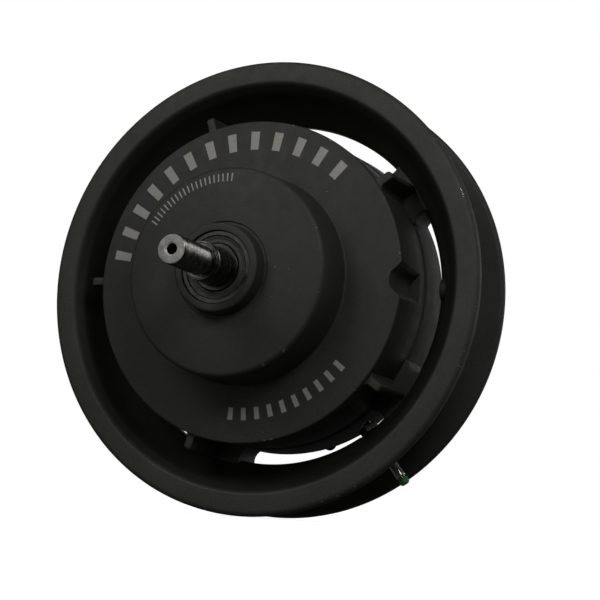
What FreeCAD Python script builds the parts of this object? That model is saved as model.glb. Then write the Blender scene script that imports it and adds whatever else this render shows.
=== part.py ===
# Hub motor wheel: a cast scooter rim carried on five short spokes round a
# brushless hub motor that turns about a fixed, threaded axle.
#
# Frame: millimetres. The origin is the centre of the rim, on the axle line and
# half way between the two tyre flanges. +Z is up, the axle lies along Y and the
# side with the stepped cover looks towards -Y. Angles about the axle are
# counted from +X towards +Z.
import FreeCAD, Part
import math
import os

V = FreeCAD.Vector
O = V(0, 0, 0)
Y_AXIS = V(0, 1, 0)

# ---------------------------------------------------------------- rim
RIM_R = 115.0            # outer radius of both tyre flanges
RIM_HALF = 27.0          # half the overall rim width
FLANGE_T = 5.5           # flange thickness
FLANGE_IN = RIM_HALF - FLANGE_T
FLANGE_ROUND = 3.0       # rounding of the flange's edge on the outer side
FLANGE_ROUND_IN = 2.2    # and on the tyre side
LIP_R = 104.0            # where the flat flange face turns into the dish
LIP_ROUND = 2.0
DISH_R = 99.6            # the dish is steeper outside this radius
DISH_Y = 22.0
DISH_ROUND = 8.0
THROAT_R = 88.2          # smallest radius on the hub side
THROAT_Y0 = 2.0
THROAT_Y1 = 6.0
THROAT_ROUND = 3.0
SEAT_OUT_R = 101.9       # bead seat beside the flange
SEAT_IN_R = 101.0        # bead seat beside the well
SEAT_IN_Y = 14.0
WELL_R = 93.0            # drop centre, a little behind the middle of the rim
WELL_Y = 3.0
WELL_HALF = 5.0

# spare valve hole, opposite the scallop in the cover
VALVE_HOLE_R = 4.15
VALVE_HOLE_Y = -3.9
VALVE_BOSS_R = 5.5
VALVE_BOSS_FACE = 90.2

# ---------------------------------------------------------------- spokes
SPOKES = 5
SPOKE_FIRST = 36.0
RIB_W = 4.0              # thin rib that shows as a tab on the cover edge
RIB_R = 88.2
RIB_SET = 2.5            # how far the rib ends behind the annulus
RIB_SLOPE = 1.6          # how much further out the rib ends at the block
BLOCK_HALF = 13.2        # half width of the spoke block at its waist
BLOCK_ROOT = 15.4        # half width where it meets the drum and the rim
BLOCK_WAIST = 4.8        # radial reach of the waist either side of its middle
BLOCK_MID_R = 85.0
BLOCK_Y0 = -2.0
BLOCK_Y1 = 20.0

# ---------------------------------------------------------------- motor shell
DRUM_R = 80.3
FACE_Y = -37.6           # front annulus at its outer edge
FACE_RISE = 0.8          # the annulus rises slightly towards the step
FACE_T = 5.0
STRIP_R = 82.3           # rear edge of the slightly conical band at the back of the drum
STRIP_R0 = 81.0          # front edge of the band
STRIP_Y0 = 0.5
SEAM_W = 1.1             # shallow groove between drum and band
SEAM_D = 0.7
DRUM_Y1 = 22.0
STEP_BASE_R = 52.0
STEP_R = 50.7
STEP_Y = -63.3
STEP_RISE = 2.6          # the step's face rises towards the boss
STEP_FOOT_Y = STEP_Y - STEP_RISE
STEP_T = 4.5
STEP_IN_R = 46.5
BOSS_BASE_R = 22.0
BOSS_R = 21.3
BOSS_Y = -73.5
BOSS_ROUND = 1.5
RELIEF_R = 23.4          # shallow ring groove round the foot of the boss
RELIEF_D = 0.7
FRONT_CAVITY_R = 70.0
CAVITY_R = 76.3
CAVITY_STEP_Y = -8.0
# valve access groove in the drum wall: floor radius, half width of the floor, radius
# and half width where the walls start to flare, at the front and at the back
GROOVE_FRONT = (74.0, 3.1, 78.6, 7.3)
GROOVE_BACK = (75.4, 3.2, 78.4, 5.2)
GROOVE_ROUND = 5.0
GROOVE_EASE = 5.0        # how far the flare widens the groove
GROOVE_Y1 = -8.8

# ---------------------------------------------------------------- bearings
BRG_BORE_R = 8.5
BRG_R = 17.5
BRG_W = 10.0
BRG_IN_R = 11.2          # shoulder of the inner ring
BRG_OUT_R = 15.2         # shoulder of the outer ring
BALL_PITCH_R = 13.2
BALL_R = 2.1
TRACK_R = 2.4
BALLS = 9
CAGE_IN_R = 12.6
CAGE_OUT_R = 13.8
CAGE_HALF = 3.2
SEAL_T = 0.6
SEAL_SET = 0.5           # how far the seal sits below the ring faces
SEAL_IN_R = 11.6
FRONT_BRG_Y = -72.5      # outer face of the front bearing
REAR_BRG_Y = 48.5        # outer face of the rear bearing
SHOULDER_R = 14.5

# ---------------------------------------------------------------- axle
AXLE_FRONT_Y = -118.2
AXLE_REAR_Y = 93.0
THREAD_R = 7.0
FRONT_THREAD_Y = -89.7
REAR_THREAD_Y = 60.3
THREAD_CHAMFER = 0.5
FLAT_HALF = 6.6          # half the distance across the two flats that run along each thread
AXLE_MID_R = 10.0
AXLE_HUB_R = 12.0
END_HOLE_R = 2.5
END_HOLE_DEPTH = 12.0
END_HOLE_SINK = 3.2
CABLE_BORE_R = 3.8
CABLE_BORE_Y0 = 27.0
CABLE_EXIT_R = 3.4
CABLE_EXIT_Y = 30.5
GLAND_R = 5.4
GLAND_IN_R = 2.9
GLAND_LEN = 12.0
GLAND_LIP = 1.6
SPACER_R = 9.4
KEY_W = 4.0
KEY_H = 1.6

# ---------------------------------------------------------------- stator
STATOR_R = 69.2
SLOTS = 27
STACK_Y0 = -5.5
STACK_Y1 = 18.5
YOKE_R = 50.0
CORE_IN_R = 44.0
TOOTH_W = 6.5
TIP_T = 2.6
SLOT_MOUTH = 2.6
INSULATOR_T = 0.8
COIL_IN_R = 50.6
COIL_OUT_R = 66.0
COIL_HOLE_HALF = 3.4
COIL_END = 4.6
ARMS = 6
ARM_W = 11.0
HUB_BOSS_R = 20.0
HUB_RING_R = 39.5

# Hall sensor board, a ring sector in front of the top of the stator
BOARD_T = 1.6
BOARD_GAP = 0.5          # air between the coil ends and the board
BOARD_Y1 = STACK_Y0 - INSULATOR_T - COIL_END - BOARD_GAP
BOARD_Y0 = BOARD_Y1 - BOARD_T
BOARD_IN_R = 38.5
BOARD_OUT_R = 68.8
BOARD_MID_DEG = 90.0
BOARD_SPAN = 100.0
POST_PCD_R = 41.8
POST_ANGLES = (50.0, 90.0, 130.0)
POST_R = 2.2
POST_HOLE_R = 1.3
BOARD_SCREW_R = 1.2
SENSOR_T = 1.6
SENSOR_W = 4.0

# ---------------------------------------------------------------- rotor
IRON_IN_R = 72.9
IRON_Y1 = 19.5
POLES = 30
MAGNET_IN_R = 69.9
MAGNET_DEG = 10.4
MAGNET_Y0 = -6.5
MAGNET_Y1 = 19.0

# ---------------------------------------------------------------- rear cover
COVER_R = 81.8
COVER_LIP_Y = 26.5
GASKET_T = 0.5
DOME_Y = 34.0
DOME_R = 66.0
DOME_T = 4.0
BRAKE_BOSS_R = 31.0
BRAKE_FACE_Y = 51.5
DISC_PCD = 44.0
DISC_HOLES = 6
DISC_HOLE_R = 2.5
DISC_HOLE_DEPTH = 12.0
CLIP_T = 1.2
CLIP_R = 18.4
CLIP_IN_R = 15.8
COVER_SCREWS = 10
SCREW_PCD_R = 79.3
SCREW_R = 2.0
SCREW_HEAD_R = 3.5
SCREW_HEAD_H = 2.6
SCREW_LEN = 14.0

# ---------------------------------------------------------------- valve
VALVE_DEG = -51.8
VALVE_Y = 3.0
STEM_R = 2.6
STEM_HEAD_R = 4.0
STEM_HEAD_T = 1.8
STEM_TOP = 116.0         # end of the thick part of the stem
STEM_FOOT = 83.0
STEM_BORE_R = 1.2
STEM_BORE = 14.0
NECK_R = 1.9
NECK_TOP = 118.6
CORE_R = 1.15
CORE_PIN_R = 0.4
CAP_R = 2.6
CAP_Y0 = 117.3
CAP_TOP = 120.2
GROMMET_R = 4.2
GROMMET_T = 1.4
NUT_AF = 9.0
NUT_T = 3.2
NUT_SINK = 0.6           # how far the nut sits in its spot face
SPOT_R = 5.85

CLEAR = 0.05             # radial clearance of a screw in its hole
SEAM_DEG = 17.0          # where surfaces of revolution start, clear of every hole and groove


# ================================================================ helpers
def corner(prev, here, nxt, radius):
    """Start, middle and end of the arc that rounds one profile corner."""
    to_prev = (prev - here).normalize()
    to_next = (nxt - here).normalize()
    half = to_prev.getAngle(to_next) / 2.0
    reach = radius / math.tan(half)
    bisector = (to_prev + to_next).normalize()
    depth = radius / math.sin(half) - radius
    return here + to_prev * reach, here + bisector * depth, here + to_next * reach


def profile(points):
    """Closed face in the XY plane from (x, y) or (x, y, corner radius) points."""
    places = [V(p[0], p[1], 0) for p in points]
    radii = [p[2] if len(p) > 2 else 0.0 for p in points]
    count = len(points)
    starts = []
    ends = []
    edges = []
    for i in range(count):
        if radii[i] > 0:
            start, mid, end = corner(places[i - 1], places[i], places[(i + 1) % count], radii[i])
            edges.append(Part.Arc(start, mid, end).toShape())
        else:
            start = places[i]
            end = places[i]
        starts.append(start)
        ends.append(end)
    for i in range(count):
        begin = ends[i]
        finish = starts[(i + 1) % count]
        if begin.distanceToPoint(finish) > 1e-6:
            edges.append(Part.makeLine(begin, finish))
    wire = Part.Wire(Part.__sortEdges__(edges))
    return Part.Face(wire)


def turned(points):
    """Solid of revolution about the axle from (radius, y) points."""
    face = profile(points)
    face.rotate(O, Y_AXIS, -SEAM_DEG)
    return face.revolve(O, Y_AXIS, 360)


def disc(radius, y0, y1):
    return Part.makeCylinder(radius, y1 - y0, V(0, y0, 0), Y_AXIS)


def tube(outer, inner, y0, y1):
    return disc(outer, y0, y1).cut(disc(inner, y0 - 1, y1 + 1))


def rod_out(radius, r0, r1, y):
    """Round bar along +X from radius r0 to r1 at axle position y."""
    return Part.makeCylinder(radius, r1 - r0, V(r0, y, 0), V(1, 0, 0))


def turn_to(shape, degrees):
    """Copy turned about the axle from +X to the given angle."""
    copy = shape.copy()
    copy.rotate(O, Y_AXIS, -degrees)
    return copy


def out_at(degrees, radius, y):
    """Point at the given angle, radius and axle position."""
    a = math.radians(degrees)
    return V(radius * math.cos(a), y, radius * math.sin(a))


def outline_prism(points, y0, y1):
    """Prism along the axle from an outline drawn as (radial, tangential) points."""
    face = profile(points)
    face.rotate(O, V(1, 0, 0), 90)
    face.translate(V(0, y0, 0))
    return face.extrude(V(0, y1 - y0, 0))


def ring_of(shape, count, first=0.0):
    """Group of equal solids spaced evenly round the axle."""
    return Part.makeCompound([turn_to(shape, first + i * 360.0 / count) for i in range(count)])


def save(shape, node):
    shape.exportStep("parts/" + node + ".step")


# ================================================================ rim
def full_rim():
    flange = [
        (RIM_R, FLANGE_IN, FLANGE_ROUND_IN),
        (RIM_R, RIM_HALF, FLANGE_ROUND),
        (LIP_R, RIM_HALF, LIP_ROUND),
        (DISH_R, DISH_Y, DISH_ROUND),
    ]
    throat = [
        (THROAT_R, THROAT_Y1, THROAT_ROUND),
        (THROAT_R, THROAT_Y0, THROAT_ROUND),
    ]
    tyre_side = [
        (SEAT_OUT_R, -FLANGE_IN),
        (SEAT_IN_R, -SEAT_IN_Y, 1.5),
        (WELL_R, WELL_Y - WELL_HALF, 2.0),
        (WELL_R, WELL_Y + WELL_HALF, 2.0),
        (SEAT_IN_R, SEAT_IN_Y, 1.5),
        (SEAT_OUT_R, FLANGE_IN),
    ]
    front = [(p[0], -p[1], p[2]) for p in reversed(flange)]
    rim = turned(tyre_side + flange + throat + front)
    boss_top = WELL_R + 0.5
    rim = rim.fuse(rod_out(VALVE_BOSS_R, VALVE_BOSS_FACE, boss_top, VALVE_HOLE_Y))
    rim = rim.cut(rod_out(VALVE_HOLE_R, THROAT_R - 5, RIM_R, VALVE_HOLE_Y))
    rim = rim.cut(turn_to(rod_out(STEM_R + CLEAR, THROAT_R - 5, RIM_R, VALVE_Y), VALVE_DEG))
    return rim.cut(turn_to(rod_out(SPOT_R, THROAT_R - 5, THROAT_R + NUT_SINK, VALVE_Y), VALVE_DEG))


def rim_slices(rim):
    """The rim as its front flange, its barrel and its rear flange."""
    front = rim.common(disc(RIM_R + 5, -RIM_HALF - 5, -FLANGE_IN))
    barrel = rim.common(disc(RIM_R + 5, -FLANGE_IN, FLANGE_IN))
    rear = rim.common(disc(RIM_R + 5, FLANGE_IN, RIM_HALF + 5))
    return front, barrel, rear


# ================================================================ motor shell
def motor_shell():
    body = turned([
        (BRG_R, BOSS_Y),
        (BOSS_R, BOSS_Y, BOSS_ROUND),
        (BOSS_BASE_R, STEP_FOOT_Y + RELIEF_D, 0.6),
        (RELIEF_R, STEP_FOOT_Y + RELIEF_D),
        (RELIEF_R, STEP_FOOT_Y),
        (STEP_R, STEP_Y, 2.4),
        (STEP_BASE_R, FACE_Y - FACE_RISE, 1.2),
        (DRUM_R, FACE_Y, 1.0),
        (DRUM_R, STRIP_Y0 - SEAM_W),
        (DRUM_R - SEAM_D, STRIP_Y0 - SEAM_W / 2.0),
        (DRUM_R - SEAM_D, STRIP_Y0),
        (STRIP_R0, STRIP_Y0, 0.4),
        (STRIP_R, DRUM_Y1, 0.6),
        (CAVITY_R, DRUM_Y1),
        (CAVITY_R, CAVITY_STEP_Y),
        (FRONT_CAVITY_R, CAVITY_STEP_Y),
        (FRONT_CAVITY_R, FACE_Y + FACE_T, 4.0),
        (STEP_IN_R, FACE_Y + FACE_T, 2.0),
        (STEP_IN_R, STEP_Y + STEP_T, 4.0),
        (SHOULDER_R, STEP_Y + STEP_T),
        (SHOULDER_R, FRONT_BRG_Y + BRG_W),
        (BRG_R, FRONT_BRG_Y + BRG_W),
    ])
    body = body.cut(access_groove())
    hole_y0 = DRUM_Y1 - SCREW_LEN + 2
    hole = Part.makeCylinder(SCREW_R + CLEAR, SCREW_LEN, V(SCREW_PCD_R, hole_y0, 0), Y_AXIS)
    return body.cut(ring_of(hole, COVER_SCREWS))


def groove_outline(floor_r, floor_half, ease_r, ease_half):
    """Cross-section of the access groove: round floor, leaning walls, flared mouth."""
    half = [
        (floor_r, floor_half, GROOVE_ROUND),
        (ease_r, ease_half, 2.5),
        (DRUM_R + 2, ease_half + GROOVE_EASE),
        (DRUM_R + 12, ease_half + GROOVE_EASE),
    ]
    other = [(p[0], -p[1]) + tuple(p[2:]) for p in reversed(half)]
    return profile(half + other)


def access_groove():
    """Cutter for the valve access groove at +X, narrower towards its back end."""
    lead = 5.0
    wires = []
    for section, y in ((GROOVE_FRONT, FACE_Y), (GROOVE_BACK, GROOVE_Y1)):
        face = groove_outline(*section)
        face.rotate(O, V(1, 0, 0), 90)
        face.translate(V(0, y, 0))
        wires.append(face.OuterWire)
    front = groove_outline(*GROOVE_FRONT)
    front.rotate(O, V(1, 0, 0), 90)
    front.translate(V(0, FACE_Y - lead, 0))
    return Part.makeLoft(wires, True, True).fuse(front.extrude(V(0, lead, 0)))


# ================================================================ spokes
def waist(side):
    """Waisted flank of the spoke block, on the side given by +1 or -1."""
    return Part.Arc(
        V(BLOCK_MID_R - side * BLOCK_WAIST, side * BLOCK_ROOT, 0),
        V(BLOCK_MID_R, side * BLOCK_HALF, 0),
        V(BLOCK_MID_R + side * BLOCK_WAIST, side * BLOCK_ROOT, 0),
    ).toShape()


def spoke():
    """One spoke at +X: a block with waisted sides and a thin rib towards the cover."""
    inner = DRUM_R - 4
    outer = LIP_R
    root0 = BLOCK_MID_R - BLOCK_WAIST
    root1 = BLOCK_MID_R + BLOCK_WAIST
    edges = [
        Part.makeLine(V(inner, BLOCK_ROOT, 0), V(root0, BLOCK_ROOT, 0)),
        waist(1),
        Part.makeLine(V(root1, BLOCK_ROOT, 0), V(outer, BLOCK_ROOT, 0)),
        Part.makeLine(V(outer, BLOCK_ROOT, 0), V(outer, -BLOCK_ROOT, 0)),
        Part.makeLine(V(outer, -BLOCK_ROOT, 0), V(root1, -BLOCK_ROOT, 0)),
        waist(-1),
        Part.makeLine(V(root0, -BLOCK_ROOT, 0), V(inner, -BLOCK_ROOT, 0)),
        Part.makeLine(V(inner, -BLOCK_ROOT, 0), V(inner, BLOCK_ROOT, 0)),
    ]
    face = Part.Face(Part.Wire(edges))
    face.rotate(O, V(1, 0, 0), 90)
    face.translate(V(0, BLOCK_Y0, 0))
    block = face.extrude(V(0, BLOCK_Y1 - BLOCK_Y0, 0))
    side = profile([
        (inner, FACE_Y + RIB_SET),
        (RIB_R, FACE_Y + RIB_SET, 1.6),
        (RIB_R + RIB_SLOPE, BLOCK_Y0 - 1),
        (RIB_R + RIB_SLOPE, BLOCK_Y0 + 2),
        (inner, BLOCK_Y0 + 2),
    ])
    side.translate(V(0, 0, -RIB_W / 2.0))
    rib = side.extrude(V(0, 0, RIB_W))
    return block.fuse(rib).common(spoke_space())


def spoke_space():
    """The ring between the outside of the drum and the hub side of the rim."""
    return turned([
        (DRUM_R, FACE_Y - 1),
        (LIP_R, FACE_Y - 1),
        (LIP_R, -RIM_HALF),
        (DISH_R, -DISH_Y, DISH_ROUND),
        (THROAT_R, THROAT_Y0, THROAT_ROUND),
        (THROAT_R, THROAT_Y1, THROAT_ROUND),
        (DISH_R, DISH_Y, DISH_ROUND),
        (LIP_R, RIM_HALF),
        (STRIP_R, RIM_HALF),
        (STRIP_R, DRUM_Y1),
        (STRIP_R0, STRIP_Y0),
        (DRUM_R, STRIP_Y0),
    ])


# ================================================================ rear cover
def rear_cover():
    y0 = DRUM_Y1 + GASKET_T
    brg_in_y = REAR_BRG_Y - BRG_W
    body = turned([
        (COVER_R, y0, 0.4),
        (COVER_R, COVER_LIP_Y, 1.2),
        (DOME_R + 7, COVER_LIP_Y, 3.0),
        (DOME_R, DOME_Y, 3.0),
        (BRAKE_BOSS_R + 1, DOME_Y, 2.5),
        (BRAKE_BOSS_R, BRAKE_FACE_Y, 1.0),
        (BRG_R, BRAKE_FACE_Y),
        (BRG_R, brg_in_y),
        (SHOULDER_R, brg_in_y),
        (SHOULDER_R, brg_in_y - 2.5),
        (BRAKE_BOSS_R - 4, brg_in_y - 2.5, 2.0),
        (BRAKE_BOSS_R - 2, DOME_Y - DOME_T, 2.0),
        (DOME_R - 2, DOME_Y - DOME_T, 2.0),
        (DOME_R + 4, y0),
    ])
    groove = tube(CLIP_R + 0.1, BRG_R - 2, REAR_BRG_Y + CLEAR, REAR_BRG_Y + CLEAR + CLIP_T)
    body = body.cut(groove)
    clear_hole = Part.makeCylinder(SCREW_R + 0.25, 12, V(SCREW_PCD_R, y0 - 2, 0), Y_AXIS)
    body = body.cut(ring_of(clear_hole, COVER_SCREWS))
    tapped = Part.makeCylinder(
        DISC_HOLE_R, DISC_HOLE_DEPTH + 2, V(DISC_PCD / 2.0, BRAKE_FACE_Y - DISC_HOLE_DEPTH, 0), Y_AXIS
    )
    body = body.cut(ring_of(tapped, DISC_HOLES, 30.0))
    rib = Part.makeBox(30, 3.0, 3.0, V(BRAKE_BOSS_R + 2, DOME_Y - 0.4, -1.5))
    foot = turned([
        (BRAKE_BOSS_R, DOME_Y - 0.5),
        (DOME_R - 4, DOME_Y - 0.5),
        (DOME_R - 4, DOME_Y + 0.4),
        (BRAKE_BOSS_R, DOME_Y + 5),
    ])
    ribs = [turn_to(rib, 12 + k * 60.0).common(foot) for k in range(6)]
    for part in ribs:
        body = body.fuse(part)
    return body


def cover_gasket():
    ring = tube(COVER_R - 0.8, CAVITY_R, DRUM_Y1, DRUM_Y1 + GASKET_T)
    hole = Part.makeCylinder(SCREW_R + 0.25, 4, V(SCREW_PCD_R, DRUM_Y1 - 1, 0), Y_AXIS)
    return ring.cut(ring_of(hole, COVER_SCREWS))


def socket_screw(radius, head_r, head_h, length):
    """Button screw at the origin: head above y = 0, shank below."""
    head = turned([
        (0, 0),
        (head_r, 0),
        (head_r, head_h * 0.45, head_h * 0.3),
        (head_r * 0.6, head_h),
        (0, head_h),
    ])
    bolt = head.fuse(disc(radius, -length, 0))
    socket = outline_prism(hexagon(radius * 1.25), head_h * 0.35, head_h + 1)
    return bolt.cut(socket)


def hexagon(across_flats):
    """Corners of a regular hexagon centred on the origin."""
    reach = across_flats / math.sqrt(3.0)
    angles = [math.radians(60 * i) for i in range(6)]
    return [(reach * math.cos(a), reach * math.sin(a)) for a in angles]


def cover_screws():
    screw = socket_screw(SCREW_R, SCREW_HEAD_R, SCREW_HEAD_H, SCREW_LEN)
    screw.translate(V(SCREW_PCD_R, COVER_LIP_Y, 0))
    return ring_of(screw, COVER_SCREWS)


def retaining_ring():
    y0 = REAR_BRG_Y + CLEAR
    ring = tube(CLIP_R, CLIP_IN_R, y0, y0 + CLIP_T)
    gap = Part.makeBox(8, 4, 7, V(CLIP_IN_R - 3, y0 - 1, -3.5))
    ring = ring.cut(gap)
    for side in (-1, 1):
        ear = Part.makeCylinder(1.7, CLIP_T, out_at(side * 17, CLIP_IN_R - 0.2, y0), Y_AXIS)
        eye = Part.makeCylinder(0.7, CLIP_T + 2, out_at(side * 17, CLIP_IN_R - 0.2, y0 - 1), Y_AXIS)
        ring = ring.fuse(ear).cut(eye)
    return ring


# ================================================================ bearings
def bearing(y0):
    """Inner ring, outer ring, balls and cage of a deep groove bearing from y0."""
    mid = y0 + BRG_W / 2.0
    track = Part.makeTorus(BALL_PITCH_R, TRACK_R, V(0, mid, 0), Y_AXIS)
    inner = turned([
        (BRG_BORE_R, y0, 0.4),
        (BRG_IN_R, y0, 0.3),
        (BRG_IN_R, y0 + BRG_W, 0.3),
        (BRG_BORE_R, y0 + BRG_W, 0.4),
    ]).cut(track)
    outer = turned([
        (BRG_OUT_R, y0, 0.3),
        (BRG_R, y0, 0.5),
        (BRG_R, y0 + BRG_W, 0.5),
        (BRG_OUT_R, y0 + BRG_W, 0.3),
    ]).cut(track)
    ball = Part.makeSphere(BALL_R, V(BALL_PITCH_R, mid, 0))
    pocket = Part.makeCylinder(BALL_R + CLEAR, 6, V(BALL_PITCH_R - 3, mid, 0), V(1, 0, 0))
    balls = ring_of(ball, BALLS)
    cage = tube(CAGE_OUT_R, CAGE_IN_R, mid - CAGE_HALF, mid + CAGE_HALF)
    cage = cage.cut(ring_of(pocket, BALLS))
    return inner, outer, balls, cage


def seal(y_face, into):
    """Seal disc just below a ring face; into is +1 or -1, the way into the bearing."""
    near = y_face + into * SEAL_SET
    far = near + into * SEAL_T
    return tube(BRG_OUT_R, SEAL_IN_R, min(near, far), max(near, far))


# ================================================================ axle
def axle():
    front_shoulder = FRONT_BRG_Y + BRG_W
    rear_shoulder = REAR_BRG_Y - BRG_W
    body = turned([
        (0, AXLE_FRONT_Y),
        (THREAD_R - THREAD_CHAMFER, AXLE_FRONT_Y),
        (THREAD_R, AXLE_FRONT_Y + THREAD_CHAMFER),
        (THREAD_R, FRONT_THREAD_Y),
        (BRG_BORE_R, FRONT_THREAD_Y),
        (BRG_BORE_R, front_shoulder),
        (AXLE_MID_R, front_shoulder),
        (AXLE_MID_R, STACK_Y0 - 4),
        (AXLE_HUB_R, STACK_Y0 - 4),
        (AXLE_HUB_R, STACK_Y1 + 2),
        (AXLE_MID_R, STACK_Y1 + 2),
        (AXLE_MID_R, rear_shoulder),
        (BRG_BORE_R, rear_shoulder),
        (BRG_BORE_R, REAR_THREAD_Y),
        (THREAD_R, REAR_THREAD_Y),
        (THREAD_R, AXLE_REAR_Y - THREAD_CHAMFER),
        (THREAD_R - THREAD_CHAMFER, AXLE_REAR_Y),
        (0, AXLE_REAR_Y),
    ])
    for y0, y1 in ((AXLE_FRONT_Y - 1, FRONT_THREAD_Y), (REAR_THREAD_Y, AXLE_REAR_Y + 1)):
        for z0 in (FLAT_HALF, -FLAT_HALF - THREAD_R):
            body = body.cut(Part.makeBox(4 * THREAD_R, y1 - y0, THREAD_R, V(-2 * THREAD_R, y0, z0)))
    sink_depth = END_HOLE_SINK - END_HOLE_R
    sink = Part.makeCone(END_HOLE_SINK, END_HOLE_R, sink_depth, V(0, AXLE_FRONT_Y, 0), Y_AXIS)
    body = body.cut(disc(END_HOLE_R, AXLE_FRONT_Y - 1, AXLE_FRONT_Y + END_HOLE_DEPTH)).cut(sink)
    body = body.cut(disc(CABLE_BORE_R, CABLE_BORE_Y0, AXLE_REAR_Y + 1))
    side_exit = Part.makeCylinder(CABLE_EXIT_R, AXLE_MID_R + 3, V(0, CABLE_EXIT_Y, 0), V(0, 0, -1))
    return body.cut(side_exit).cut(key_block())


def key_block():
    """Flat key on the top of the axle, sunk half way into it."""
    length = STACK_Y1 - STACK_Y0 - 6
    return Part.makeBox(KEY_W, length, 2 * KEY_H, V(-KEY_W / 2.0, STACK_Y0 + 3, AXLE_HUB_R - KEY_H))


def spacer(y0, y1):
    return turned([
        (BRG_BORE_R, y0),
        (SPACER_R, y0, 0.35),
        (SPACER_R, y1, 0.35),
        (BRG_BORE_R, y1),
    ])


def cable_gland():
    y1 = AXLE_REAR_Y
    return turned([
        (GLAND_IN_R, y1 - GLAND_LEN),
        (CABLE_BORE_R, y1 - GLAND_LEN),
        (CABLE_BORE_R, y1),
        (GLAND_R, y1),
        (GLAND_R, y1 + GLAND_LIP, 0.7),
        (GLAND_IN_R, y1 + GLAND_LIP),
    ])


# ================================================================ stator
def tapered_prism(r0, half0, r1, half1, y0, y1):
    """Prism along the axle whose outline widens or narrows from radius r0 to r1."""
    return outline_prism([(r0, -half0), (r1, -half1), (r1, half1), (r0, half0)], y0, y1)


def lamination(y0, y1):
    """Toothed ring: yoke, teeth and tooth tips between y0 and y1."""
    ring = tube(STATOR_R, CORE_IN_R, y0, y1)
    half_pitch = math.radians(180.0 / SLOTS)
    tip_r = STATOR_R - TIP_T
    inner_half = YOKE_R * math.sin(half_pitch) - TOOTH_W / 2.0
    outer_half = tip_r * math.sin(half_pitch) - TOOTH_W / 2.0
    slot = tapered_prism(YOKE_R, inner_half, tip_r, outer_half, y0 - 1, y1 + 1)
    mouth = Part.makeBox(TIP_T + 3, y1 - y0 + 2, SLOT_MOUTH, V(tip_r - 1, y0 - 1, -SLOT_MOUTH / 2.0))
    cutter = slot.fuse(mouth)
    return ring.cut(ring_of(cutter, SLOTS, 180.0 / SLOTS))


def coil():
    """Winding on the tooth at +X: a tapered bobbin-shaped loop."""
    y0 = STACK_Y0 - INSULATOR_T - COIL_END
    y1 = STACK_Y1 + INSULATOR_T + COIL_END
    half_pitch = math.radians(180.0 / SLOTS)
    inner_half = COIL_IN_R * math.tan(half_pitch) - 0.3
    outer_half = COIL_OUT_R * math.tan(half_pitch) - 0.5
    body = tapered_prism(COIL_IN_R, inner_half, COIL_OUT_R, outer_half, y0, y1)
    hole_len = STACK_Y1 - STACK_Y0 + 2 * INSULATOR_T
    hole_at = V(COIL_IN_R - 3, STACK_Y0 - INSULATOR_T, -COIL_HOLE_HALF)
    return body.cut(Part.makeBox(COIL_OUT_R, hole_len, 2 * COIL_HOLE_HALF, hole_at))


def phase_coils(phase):
    """Every third coil, as one group of separate solids."""
    one = coil()
    step = 360.0 / SLOTS
    return Part.makeCompound([turn_to(one, (3 * k + phase) * step) for k in range(SLOTS // 3)])


def stator_hub():
    """Cast spider that carries the core on the axle."""
    boss = tube(HUB_BOSS_R, AXLE_HUB_R, STACK_Y0 - 2, STACK_Y1)
    ring = tube(CORE_IN_R, HUB_RING_R, STACK_Y0, STACK_Y1)
    body = boss.fuse(ring)
    arm_len = HUB_RING_R - HUB_BOSS_R + 4
    arm_at = V(HUB_BOSS_R - 2, STACK_Y0 + 4, -ARM_W / 2.0)
    arm = Part.makeBox(arm_len, STACK_Y1 - STACK_Y0 - 8, ARM_W, arm_at)
    for k in range(ARMS):
        body = body.fuse(turn_to(arm, k * 360.0 / ARMS))
    return body.cut(key_block())


def hall_board():
    plate = tube(BOARD_OUT_R, BOARD_IN_R, BOARD_Y0, BOARD_Y1)
    reach = BOARD_OUT_R * 2
    ends = [BOARD_MID_DEG + side * BOARD_SPAN / 2.0 for side in (-1, 1)]
    corners = [O] + [out_at(d, reach, 0) for d in (ends[0], BOARD_MID_DEG, ends[1])] + [O]
    sector = Part.Face(Part.makePolygon(corners))
    sector.translate(V(0, BOARD_Y0 - 1, 0))
    plate = plate.common(sector.extrude(V(0, BOARD_T + 2, 0)))
    for degrees in POST_ANGLES:
        plate = plate.cut(peg(POST_HOLE_R, degrees, BOARD_Y0 - 1, BOARD_Y1 + 1))
    return plate


def peg(radius, degrees, y0, y1):
    """Round bar along the axle on the circle of the board's standoffs."""
    return Part.makeCylinder(radius, y1 - y0, out_at(degrees, POST_PCD_R, y0), Y_AXIS)


def board_standoffs():
    posts = []
    for degrees in POST_ANGLES:
        post = peg(POST_R, degrees, BOARD_Y1, STACK_Y0)
        posts.append(post.cut(peg(POST_HOLE_R, degrees, BOARD_Y1 - 1, STACK_Y0 - 1)))
    return Part.makeCompound(posts)


def board_screws():
    screws = []
    for degrees in POST_ANGLES:
        shank = peg(BOARD_SCREW_R, degrees, BOARD_Y0, BOARD_Y1 + 4.4)
        screws.append(shank.fuse(peg(POST_R, degrees, BOARD_Y0 - 1.4, BOARD_Y0)))
    return Part.makeCompound(screws)


def hall_sensor(index):
    y1 = STACK_Y0 - INSULATOR_T - 0.1
    body = Part.makeBox(SENSOR_T, y1 - BOARD_Y1, SENSOR_W, V(COIL_OUT_R + 0.8, BOARD_Y1, -SENSOR_W / 2.0))
    return turn_to(body, BOARD_MID_DEG + (index - 1) * 360.0 / SLOTS)


# ================================================================ rotor
def back_iron():
    return tube(CAVITY_R, IRON_IN_R, CAVITY_STEP_Y, IRON_Y1)


def magnet_group(first):
    """Every second magnet, as one group of separate solids."""
    half = math.radians(MAGNET_DEG / 2.0)
    ring = tube(IRON_IN_R, MAGNET_IN_R, MAGNET_Y0, MAGNET_Y1)
    reach = IRON_IN_R + 5
    span = reach * math.tan(half)
    wedge = outline_prism([(0, 0), (reach, -span), (reach, span)], MAGNET_Y0, MAGNET_Y1)
    return ring_of(ring.common(wedge), POLES // 2, first * 360.0 / POLES)


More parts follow.
